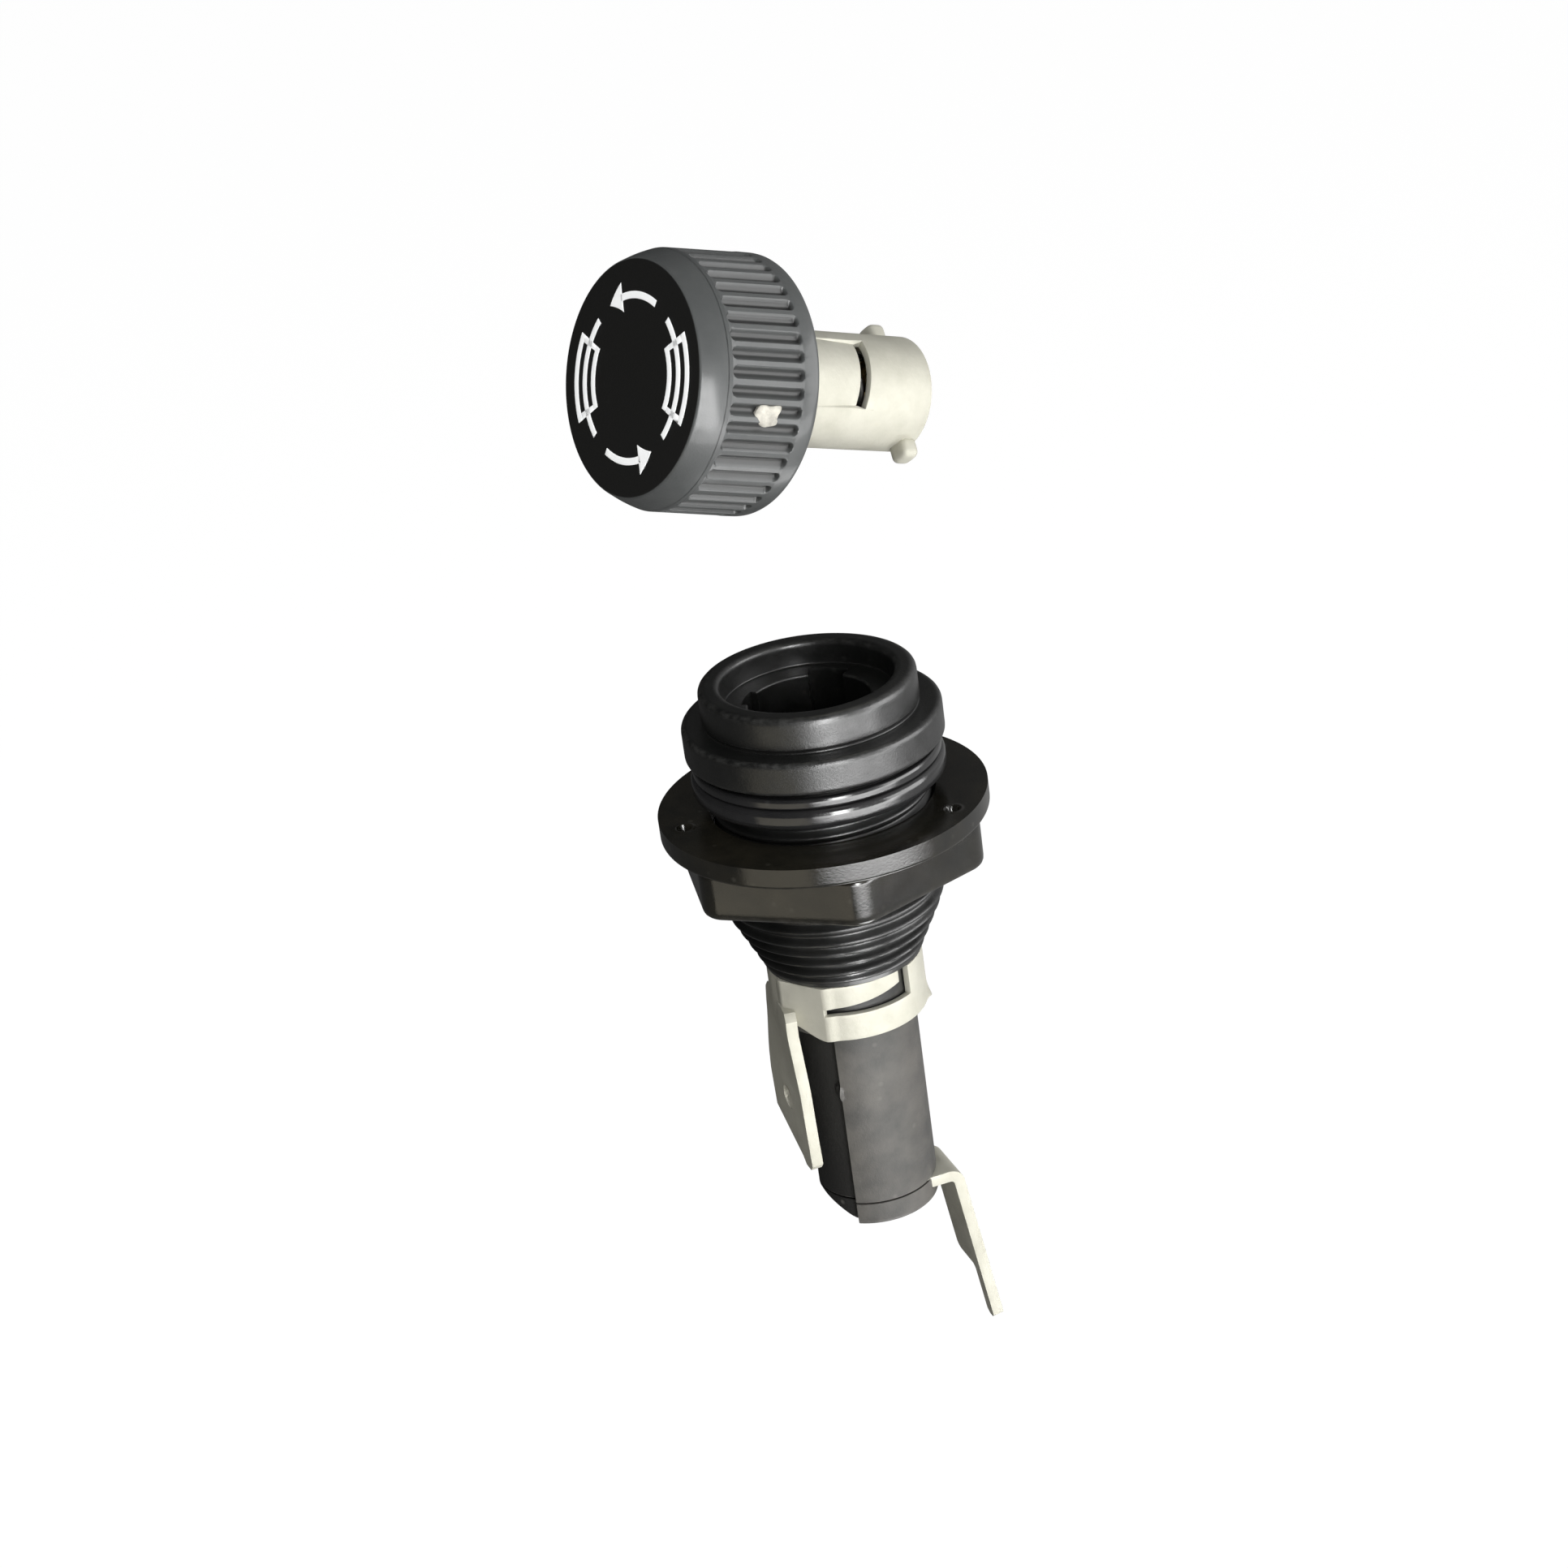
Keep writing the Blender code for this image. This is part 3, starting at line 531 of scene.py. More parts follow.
@dataclass(frozen=True)
class Finish:
    """One surface finish: its tones, its gloss, and how both vary."""

    name: str
    slot: str
    tone: Colour
    other: Colour
    gloss: Span
    metallic: float = 0.0
    specular: float = 0.5
    coat: float = 0.0
    mottle: float = 0.6
    mottle_scale: float = 350.0
    gloss_scale: float = 500.0
    grain: float = 0.1
    grain_scale: float = 6000.0
    waves: float = 1.0
    worn: Colour = (0.2, 0.2, 0.2)
    wear: float = 0.0
    wear_scale: float = 1800.0
    specks: float = 0.0
    speck_scale: float = 900.0
    speck_tone: Colour = (0.4, 0.4, 0.38)
    # dark tone of the knob's face, and of the painted shade in grooves and recesses
    face_and_shade_tone: Colour | None = None
    face_and_shade_gloss: float = 0.5

    def effect(self, tree: Tree, effect: Effect, **values: object) -> Socket:
        """Place a shared effect in this finish's tree and return what it puts out."""
        return wire(tree, "ShaderNodeGroup", values, node_tree=EFFECTS.get(effect)).outputs[0]

    def material(self) -> bpy.types.Material:
        """Build the material once: mottled tones, a dark face tone and painted shade, wear and specks over
        one Principled shader.

        Returns:
            The material of this finish.
        """
        found = bpy.data.materials.get(self.name)
        if found:
            return found
        made = bpy.data.materials.new(self.name)
        made.use_nodes = True
        tree = made.node_tree
        shader = tree.nodes["Principled BSDF"]
        shader.inputs["Metallic"].default_value = self.metallic
        shader.inputs["Specular IOR Level"].default_value = self.specular
        shader.inputs["Coat Weight"].default_value = self.coat
        shader.inputs["Coat Roughness"].default_value = COAT_ROUGHNESS
        tones = {"Tone": (*self.tone, 1.0), "Other": (*self.other, 1.0)}
        colour = self.effect(tree, Effect.MOTTLE, Amount=self.mottle, Scale=self.mottle_scale, **tones)
        low, high = self.gloss
        gloss = self.effect(tree, Effect.GLOSS, Low=low, High=high, Scale=self.gloss_scale)
        # painted shade in grooves and recesses, and the knob face's own black: the mesh's layer blends in a
        # darker tone and gloss
        if self.face_and_shade_tone:
            dark_face_and_painted_shade = attribute(tree, "dark_face_and_painted_shade")
            colour = blend(tree, dark_face_and_painted_shade, colour, (*self.face_and_shade_tone, 1.0))
            gloss = wire(tree, "ShaderNodeMix", {0: dark_face_and_painted_shade, 2: gloss, 3: self.face_and_shade_gloss}).outputs[0]
        if self.wear:
            mask = self.effect(tree, Effect.WEAR, Amount=self.wear, Scale=self.wear_scale)
            colour = blend(tree, mask, colour, (*self.worn, 1.0))
        if self.specks:
            mask = self.effect(tree, Effect.SPECKS, Amount=self.specks, Scale=self.speck_scale)
            colour = blend(tree, mask, colour, (*self.speck_tone, 1.0))
        tree.links.new(colour, shader.inputs["Base Color"])
        tree.links.new(gloss, shader.inputs["Roughness"])
        height = self.effect(tree, Effect.GRAIN, Scale=self.grain_scale, Waves=self.waves)
        uneven = {"Height": height, "Strength": self.grain, "Distance": BUMP_HEIGHT}
        bump = wire(tree, "ShaderNodeBump", uneven)
        tree.links.new(bump.outputs[0], shader.inputs["Normal"])
        return made


BLACK_MOULDING = Finish(
    "satin_black_moulding", "body_plastic", (0.004, 0.0042, 0.004), (0.0078, 0.008, 0.0074), (0.28, 0.42),
    specular=1.0, grain=0.14,
    worn=(0.05, 0.05, 0.048), wear=0.4,
    specks=0.2, speck_tone=(0.06, 0.06, 0.055),
)
NUT_MOULDING = Finish(
    "glossy_black_moulding", "nut_plastic", (0.006, 0.0058, 0.0045), (0.016, 0.014, 0.0095), (0.12, 0.2),
    specular=1.0, grain=0.08,
    worn=(0.05, 0.046, 0.038), wear=0.4,
    specks=0.2, speck_tone=(0.08, 0.078, 0.065),
)
GRIP_MOULDING = Finish(
    "grey_grip_moulding", "knob_plastic", (0.05, 0.053, 0.053), (0.066, 0.069, 0.068), (0.38, 0.52),
    coat=0.4, grain=0.14,
    # the face's own black, and painted shade in the grip's grooves
    face_and_shade_tone=(0.008, 0.008, 0.0075), face_and_shade_gloss=0.5,
)
TUBE_MOULDING = Finish(
    "matte_grey_moulding", "tube_plastic", (0.048, 0.047, 0.044), (0.11, 0.103, 0.092), (0.42, 0.58),
    specular=0.6, grain=0.2, grain_scale=4200.0,
    worn=(0.16, 0.155, 0.14), wear=0.4,
    specks=0.3, speck_tone=(0.16, 0.155, 0.14),
    # painted shade in the tube's recess and groove
    face_and_shade_tone=(0.006, 0.0058, 0.0054), face_and_shade_gloss=0.6,
)
RUBBER = Finish(
    "black_rubber", "rubber", (0.009, 0.009, 0.0095), (0.016, 0.016, 0.016), (0.12, 0.24),
    specular=1.0, grain=0.05,
    specks=0.2, speck_tone=(0.07, 0.07, 0.07),
)
TIN_PLATE = Finish(
    "dull_tin_plate", "tinned_metal", (0.55, 0.54, 0.47), (0.455, 0.445, 0.377), (0.6, 0.78),
    metallic=0.62, grain=0.22, grain_scale=3000.0,
    worn=(0.9, 0.88, 0.8), wear=0.4,
    specks=0.3, speck_tone=(0.5, 0.47, 0.38),
)
BRASS = Finish("bare_brass", "brass", (0.72, 0.54, 0.25), (0.58, 0.42, 0.19), (0.25, 0.4), metallic=1.0)
STEEL = Finish(
    "drawn_steel", "spring_steel", (0.58, 0.58, 0.57), (0.46, 0.46, 0.46), (0.24, 0.36),
    metallic=1.0, grain=0.08,
)
PALE_SPOT = Finish(
    "pale_spot", "inlay", (0.5, 0.48, 0.42), (0.26, 0.25, 0.22), (0.45, 0.6),
    mottle=0.9, mottle_scale=1400.0, grain=0.3,
)
WHITE_INK = Finish(
    "white_ink", "inlay", (0.97, 0.98, 0.98), (0.93, 0.95, 0.95), (0.45, 0.6),
    mottle_scale=1200.0,
)


class Body(Enum):
    """The frame's moving bodies."""

    HOLDER = "holder"
    WASHER = "washer"
    NUT = "nut"
    PLUNGER = "plunger"
    SEAL = "cap_seal"
    CAP = "cap"


@dataclass
class Assembly:
    """A group of pieces with a place of their own."""

    place: Place
    pieces: list[Piece] = field(default_factory=list, kw_only=True)

    def add(
        self,
        name: str,
        surfaces: Sequence[Surface],
        body: Body,
        node: str,
        finish: Finish,
        wall: Wall | None = None,
    ) -> Piece:
        """Make a piece, dress it, and set it in the frame.

        Args:
            name: The piece's name.
            surfaces: Its grids of points.
            body: The body it rides on.
            node: The CAD node it stands for.
            finish: Its finish.
            wall: The wall of a piece of sheet.

        Returns:
            The piece.
        """
        made = shaped(name, surfaces, self.place, wall)
        made.data.materials.append(finish.material())
        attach(made, body.value)
        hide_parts(node)
        self.pieces.append(made)
        return made


@dataclass(frozen=True)
class Slots:
    """Slots of one depth and width in a round wall."""

    radius: float
    turns: Span
    half: float  # degrees

    def share(self, angles: Array) -> Array:
        """1 within the slots and 0 between them."""
        return sum(window(angles, turn - self.half, turn + self.half) for turn in self.turns)

    def sides(self) -> list[float]:
        """The angles of the slots' sides, in degrees."""
        return [turn + side for turn in self.turns for side in (-self.half, self.half)]


@dataclass
class Barrel(Assembly):
    """The moulded holder body, its gasket and the contact sleeve inside it."""

    rim_z: float = 4.85
    collar_r: float = 7.4
    undercut: float = 0.12
    undercut_z: Span = (0.2, 0.35)  # above the flange
    flange_r: float = 8.85
    flange_t: float = 2.3
    mouth_r: float = 5.9
    ledge_z: float = 3.1
    guide_r: float = 4.15
    chamber_r: float = 5.6
    chamber: Span = (-10.85, -7.95)
    bore_r: float = 3.95
    slots: tuple[Slots, ...] = (Slots(5.15, (53.4, 233.4), 17.0), Slots(4.6, (143.4, 323.4), 14.0))
    thread_r: float = 7.5
    thread_depth: float = 0.45
    thread_pitch: float = 1.0
    thread_from: float = -2.6
    thread_lead: float = 0.35
    thread_out: Span = (0.3, 1.1)  # above the taper's end, where the thread dies out
    thread_row: float = 0.06
    taper_from: float = -11.8
    taper_to: float = -16.0
    taper_r: float = 5.5
    taper_lead: float = 1.2
    taper_more: float = 0.5  # share by which the thread is deeper on the taper
    neck_r: float = 4.9
    neck_to: float = -18.4
    gasket_bore: float = 7.6
    gasket_bead_r: float = 8.68
    gasket_lip_r: float = 8.5
    gasket_waist_r: float = 8.2
    gasket_waist_z: float = -1.2
    gasket_waist_half: float = 0.1
    gasket_z: Span = (-2.6, -0.4)
    sleeve_r: Span = (3.5, 3.85)
    sleeve_cup_r: Span = (5.15, 5.5)
    sleeve_z: Span = (-18.3, -8.1)
    sleeve_step: Span = (-10.7, -10.35)

    def warp(self, radius: Array, height: Array, angles: Array) -> tuple[Array, Array]:
        """Cut the thread and the mouth's slots.

        The thread takes depth times a cosine wave of z / pitch - a / 2 pi off
        the radius, deeper on the taper and dying out at its end. The guide's
        wall steps out to the slots' radius within their angles.

        Args:
            radius: Radii of the grid.
            height: Heights of the grid.
            angles: Angles of the columns.

        Returns:
            The changed radii and the same heights.
        """
        phase = height / self.thread_pitch - angles / (2 * np.pi)
        wave = 0.5 + 0.5 * np.cos(2 * np.pi * phase)
        fade = ease(self.thread_from, self.thread_from - self.thread_lead, height)
        fade *= 1.0 + self.taper_more * ease(self.taper_from, self.taper_from - self.taper_lead, height)
        fade *= 1.0 - ease(self.taper_to + self.thread_out[1], self.taper_to + self.thread_out[0], height)
        outside = (radius > self.neck_r + SLACK) & (height < self.thread_from)
        chamber = (height > self.chamber[0] - SLACK) & (height < self.chamber[1] + SLACK)
        cut = np.where(outside & (~chamber | (radius > self.chamber_r + SLACK)), wave * fade, 0.0)
        radius = radius - self.thread_depth * cut
        guide = (height <= self.ledge_z + NEAR) & (height >= self.chamber[1] - NEAR)
        for slots in self.slots:
            inner = guide & (radius < slots.radius)
            radius = np.where(inner, radius + (slots.radius - radius) * slots.share(angles), radius)
        return radius, height

    def body(self) -> Surface:
        """Turn the body's outline, with close rows on the thread, and cut it.

        Returns:
            The body's surface.
        """
        low, high = self.chamber
        under_r = self.collar_r - self.undercut
        under_low, under_high = self.flange_t + self.undercut_z[0], self.flange_t + self.undercut_z[1]
        inside = [
            (self.bore_r, self.neck_to, 0.0),
            (self.bore_r, low, 0.0),
            (self.chamber_r, low, 0.0),
            (self.chamber_r, high, 0.0),
            (self.guide_r, high, 0.0),
            (self.guide_r, self.ledge_z, 0.18),
            (self.mouth_r, self.ledge_z, 0.12),
            (self.mouth_r, self.rim_z, 0.4),
        ]
        outside = [
            (self.collar_r, self.rim_z, 0.5),
            (self.collar_r, under_high, 0.06),
            (under_r, under_low, 0.06),
            (under_r, self.flange_t, 0.1),
            (self.flange_r, self.flange_t, 0.38),
            (self.flange_r, 0.0, 0.28),
            (self.thread_r, 0.0, 0.1),
            (self.thread_r, self.thread_from, 0.0),
        ]
        inset = 0.05
        level = np.arange(self.thread_from - inset, self.taper_to + inset, -self.thread_row)
        slope = np.clip((self.taper_from - level) / (self.taper_from - self.taper_to), 0.0, 1.0)
        thread = straight(self.thread_r + (self.taper_r - self.thread_r) * slope, level)
        neck = [
            (self.taper_r, self.taper_to, 0.0),
            (self.neck_r, self.taper_to, 0.0),
            (self.neck_r, self.neck_to, 0.15),
            (self.bore_r, self.neck_to, 0.0),
        ]
        outline = joined(rounded([*inside, *outside], closed=False), thread, rounded(neck, closed=False))
        sides = [side for slots in self.slots for side in slots.sides()]
        return turned(outline, round_angles(216, *sides), self.warp)

    def gasket(self) -> Surface:
        """Turn the gasket: a bead under a lip, with a waist between them.

        Returns:
            The gasket's surface.
        """
        low, high = self.gasket_z
        corners = [
            (self.gasket_bore, low, 0.1),
            (self.gasket_bead_r, low, 0.45),
            (self.gasket_bead_r, self.gasket_waist_z - self.gasket_waist_half, 0.4),
            (self.gasket_waist_r, self.gasket_waist_z, 0.06),
            (self.gasket_lip_r, self.gasket_waist_z + self.gasket_waist_half, 0.1),
            (self.gasket_lip_r, high, 0.3),
            (self.gasket_bore, high, 0.1),
        ]
        return turned(rounded(corners), round_angles(192))

    def sleeve(self) -> Surface:
        """Turn the stepped brass sleeve: a cup that the ears lock under, and a tube below it.

        Returns:
            The sleeve's surface.
        """
        low, high = self.sleeve_z
        under, over = self.sleeve_step
        inner, outer = self.sleeve_r
        cup_inner, cup_outer = self.sleeve_cup_r
        corners = [
            (inner, low, 0.1),
            (outer, low, 0.1),
            (outer, under, 0.0),
            (cup_outer, under, 0.2),
            (cup_outer, high, 0.08),
            (cup_inner, high, 0.08),
            (cup_inner, over, 0.0),
            (inner, over, 0.2),
        ]
        return turned(rounded(corners), round_angles(96))

    def build(self) -> None:
        """Add the body, the gasket and the sleeve."""
        self.add("holder_moulding", [self.body()], Body.HOLDER, "holder_body", BLACK_MOULDING)
        self.add("gasket_ring", [self.gasket()], Body.HOLDER, "panel_gasket", RUBBER)
        self.add("brass_sleeve", [self.sleeve()], Body.HOLDER, "contact_sleeve", BRASS)


@dataclass
class ClampNut(Assembly):
    """The dimpled disc and the hexagonal nut that clamp the panel."""

    bore_r: float = 7.75
    disc_r: float = 11.3
    disc_z: Span = (-5.55, -4.1)
    dimple_r: float = 0.5
    dimple_side: Span = (0.7, 1.05)  # shares of the dimple's radius
    dimple_depth: float = 0.45
    dimple_circle: float = 9.8
    dimple_turns: tuple[float, ...] = (-48.0, 16.0, 176.0)
    lip_at: float = 1.25  # share of the dimple's radius
    lip_width: float = 0.12
    lip_height: float = 0.04
    nut_turn: float = 20.5
    flats: float = 19.4
    corner: float = 1.9
    nut_z: Span = (-9.05, -5.65)

    def dimples(self, radius: Array, height: Array, angles: Array) -> tuple[Array, Array]:
        """Sink the round dimples in the disc's top.

        Within a dimple's radius the height drops by its depth, with steep eased
        sides, and a fine lip stands round it.

        Args:
            radius: Radii of the grid.
            height: Heights of the grid.
            angles: Angles of the columns.

        Returns:
            The same radii and the changed heights.
        """
        swings = np.radians(np.stack([apart(angles, turn) for turn in self.dimple_turns]))
        swing = np.take_along_axis(swings, np.abs(swings).argmin(axis=0)[None], axis=0)[0]
        away = np.hypot(radius * np.cos(swing) - self.dimple_circle, radius * np.sin(swing))
        sunk = 1.0 - ease(self.dimple_r * self.dimple_side[0], self.dimple_r * self.dimple_side[1], away)
        lip = np.exp(-(((away - self.dimple_r * self.lip_at) / self.lip_width) ** 2))
        top = np.abs(height - self.disc_z[1]) < NEAR
        return radius, height + np.where(top, self.lip_height * lip - self.dimple_depth * sunk, 0.0)

    def disc(self) -> Surface:
        """Turn the disc's outline, with close rows where the dimples are, and sink them.

        Returns:
            The disc's surface.
        """
        low, high = self.disc_z
        corners = [
            (self.bore_r, high, 0.0),
            (self.bore_r, low, 0.1),
            (self.disc_r, low, 0.2),
            (self.disc_r, high, 0.22),
        ]
        rim, inner, reach, row = self.disc_r - 0.4, self.bore_r + 0.65, 0.9, 0.07
        close = np.arange(self.dimple_circle + reach, self.dimple_circle - reach, -row)
        top = straight(np.concatenate([[rim], close, [inner]]), high)
        return turned(joined(rounded(corners, closed=False), top), round_angles(720), self.dimples)

    def nut(self) -> Surface:
        """Hexagonal nut.

        A column's foot runs round a smaller hexagon, and its point stands at an
        offset along the normal: the corners turn about the hexagon's own, and the
        flats keep one normal. The bore is a circle at each column's own angle.

        Returns:
            The nut's surface.
        """
        low, high = self.nut_z
        sides, wedge = 6, 60.0
        share = np.linspace(0.0, 1.0, 13)
        flat = np.linspace(0.0, 1.0, 14)[1:-1]
        start = np.radians(self.nut_turn + wedge * np.arange(sides))[:, None]
        reach = (self.flats / 2.0 - self.corner) / np.cos(np.radians(wedge / 2.0))
        foot = np.stack([reach * np.cos(start[:, 0]), reach * np.sin(start[:, 0])], axis=-1)
        onward = np.roll(foot, -1, axis=0)
        bend = np.broadcast_to(foot[:, None], (sides, len(share), 2))
        run = foot[:, None] * (1.0 - flat[None, :, None]) + onward[:, None] * flat[None, :, None]
        feet = np.concatenate([bend, run], axis=1).reshape(-1, 2)
        swing = start + np.radians(wedge * (share - 0.5))[None]
        still = np.broadcast_to(start + np.radians(wedge / 2.0), (sides, len(flat)))
        facing = np.concatenate([swing, still], axis=1).ravel()
        normal = np.stack([np.cos(facing), np.sin(facing)], axis=-1)
        corners = [(0.0, high, 0.0), (self.corner, high, 0.3), (self.corner, low, 0.6), (0.0, low, 0.0)]
        profile, edge = rounded(corners, closed=False)
        shell = feet[None] + profile[:, :1, None] * normal[None]
        hole = np.repeat(self.bore_r * unit(feet + self.corner * normal)[None], 2, axis=0)
        across = np.concatenate([hole, shell, hole])
        middle = (low + high) / 2
        level = np.concatenate([[middle, high], profile[:, 1], [low, middle]])
        heights = np.broadcast_to(level[:, None], across.shape[:2])
        worn = np.pad(edge, 2)[:, None]
        return Surface(np.concatenate([across, heights[..., None]], axis=-1), worn, along=True)

    def build(self) -> None:
        """Add the disc and the nut."""
        self.add("dimpled_disc", [self.disc()], Body.WASHER, "nut_washer", NUT_MOULDING)
        self.add("hexagonal_nut", [self.nut()], Body.NUT, "hex_nut", NUT_MOULDING)


@dataclass
class SideTerminal(Assembly):
    """The tinned ring on the neck, with a spring tongue and a solder tab."""

    ring_r: float = 5.225
    ring_z: Span = (-20.2, -16.1)
    ring_t: float = 0.45
    facet: Span = (-163.0, -127.0)
    facet_out: float = 0.2
    facet_ease: float = 9.0  # degrees
    rise: float = 0.9
    rise_turns: tuple[Span, Span] = ((-215.0, -175.0), (-160.0, -127.0))
    point_turn: float = -17.0
    point_half: float = 7.0  # degrees
    point_out: float = 0.3
    slot_z: float = -18.0
    slot_w: float = 0.55
    leg_w: float = 0.8
    slot: Span = (-127.0, -66.0)
    tongue_lift: float = 0.7
    tongue_tuck: float = 0.2
    tab_t: float = 0.8
    tab_half: float = 3.15
    tab_z: Span = (-30.8, -18.2)
    tab_corner: float = 0.5
    root_corner: float = 0.6
    shoulder_z: float = -28.2
    tip_side: Span = (-1.25, -30.3)
    tip_to: float = -1.75
    lean_z: tuple[float, ...] = (-30.8, -28.2, -24.4, -19.5, -17.3)
    lean_x: tuple[float, ...] = (-4.95, -5.03, -5.12, -5.45, -5.3)
    twist: float = 0.8
    twist_z: Span = (-25.5, -18.5)
    hole_r: float = 0.85
    hole_z: float = -26.1

    def ring_radius(self, degrees: Array) -> Array:
        """The ring's radius: round, but flat over its facet.

        The flat is a chord, R cos h / cos a, a little outside the circle at its
        two creases, and the circle takes over again within a few degrees.

        Args:
            degrees: Angles round the neck.

        Returns:
            The middle radius of the sheet at each angle.
        """
        half = (self.facet[1] - self.facet[0]) / 2.0
        away = np.abs(short_way(degrees - sum(self.facet) / 2.0))
        crease = self.ring_r + self.facet_out
        chord = crease * np.cos(np.radians(half)) / np.cos(np.radians(np.minimum(away, half)))
        after = self.ring_r + self.facet_out * (1.0 - ease(half, half + self.facet_ease, away))
        return np.where(away <= half, chord, after)

    def band(self) -> Surface:
        """The ring's sheet, with its L-shaped slot left out.

        Columns go round and rows go down. The lower edge rises from the crease
        to the tab, and flares out in a small point on the other side. The tongue
        above the slot leans in and lifts towards its free end.

        Returns:
            The ring's middle surface.
        """
        first, last = self.slot
        leg = last + np.degrees(self.leg_w / self.ring_r)
        degrees = marked_degrees(144, [*self.facet, first, last, leg])
        low, high = self.ring_z
        over, under = self.slot_z + self.slot_w / 2, self.slot_z - self.slot_w / 2
        level = np.concatenate([np.linspace(high, over, 7), np.linspace(under, low, 8)])
        up, down = self.rise_turns
        rise = self.rise * (1.0 - ease(*down, degrees)) * ease(*up, degrees)
        share = np.clip((under - level) / (under - low), 0.0, 1.0)[:, None]
        point = np.exp(-(((degrees - self.point_turn) / self.point_half) ** 2)) * share**4
        way = np.clip((degrees - first) / (last - first), 0.0, 1.0)[None] ** 1.5
        free = (level > under + NEAR)[:, None] & (degrees <= last + NEAR)[None]
        lift = np.clip((high - level) / (high - over), 0.0, 1.0)[:, None]
        height = level[:, None] + rise[None] * share - self.point_out * point
        height = height + np.where(free, self.tongue_lift * way * lift, 0.0)
        radius = self.ring_radius(degrees)[None] + self.point_out * point
        radius = radius - np.where(free, self.tongue_tuck * way, 0.0)
        points = polar(radius, np.radians(degrees)[None], height)
        middle = halfway(degrees)[None]
        centre = ((level[:-1] + level[1:]) / 2.0)[:, None]
        crosswise = (centre < over) & (centre > under) & (middle > first) & (middle < leg)
        upward = (centre > under) & (middle > last) & (middle < leg)
        return Surface(points, keep=~(crosswise | upward))

    def tab(self) -> Surface:
        """The tab's sheet: rays from its hole to its outline.

        A point lies a share of the way from the hole's rim to where its ray
        meets the outline. The sheet leans towards the tube in two bends, and its
        root is turned a little towards the ring.

        Returns:
            The tab's middle surface.
        """
        low, high = self.tab_z
        half, cut, root = self.tab_half, self.tab_corner, self.root_corner
        corners = np.array(
            [
                (half, high - root),
                (half, self.shoulder_z),
                self.tip_side,
                (self.tip_to, low),
                (cut - half, low),
                (-half, low + cut),
                (-half, high - cut),
                (cut - half, high),
                (half - root, high),
            ]
        )
        centre = np.array([0.0, self.hole_z])
        start = corners - centre
        side = np.roll(corners, -1, axis=0) - corners
        spokes = np.arctan2(start[:, 1], start[:, 0])
        even = np.linspace(-np.pi, np.pi, 120, endpoint=False)
        angles = np.unique(np.round(np.concatenate([even, spokes]), 5))
        ray = np.stack([np.cos(angles), np.sin(angles)], axis=-1)
        cross = ray[:, None, 0] * side[None, :, 1] - ray[:, None, 1] * side[None, :, 0]
        tiny = 1e-9
        safe = np.where(np.abs(cross) < tiny, tiny, cross)
        reach = (start[None, :, 0] * side[None, :, 1] - start[None, :, 1] * side[None, :, 0]) / safe
        along = (start[None, :, 0] * ray[:, None, 1] - start[None, :, 1] * ray[:, None, 0]) / safe
        met = (reach > 0) & (along > -NEAR) & (along < 1 + NEAR)
        distance = np.min(np.where(met, reach, np.inf), axis=1)
        share = np.linspace(0.0, 1.0, 15)[:, None] ** 1.3
        out = self.hole_r + (distance[None] - self.hole_r) * share
        across = centre[0] + out * ray[None, :, 0]
        height = centre[1] + out * ray[None, :, 1]
        lean = np.interp(height, self.lean_z, self.lean_x)
        twist = self.twist * ease(*self.twist_z, height) * (across + half) / (2.0 * half)
        return Surface(np.stack([lean + twist, across, height], axis=-1))

    def build(self) -> None:
        """Add the ring and the tab."""
        node = "side_terminal"
        self.add("terminal_ring", [self.band()], Body.HOLDER, node, TIN_PLATE, Wall(self.ring_t, 0.1))
        self.add("terminal_tab", [self.tab()], Body.HOLDER, node, TIN_PLATE, Wall(self.tab_t, 0.12))


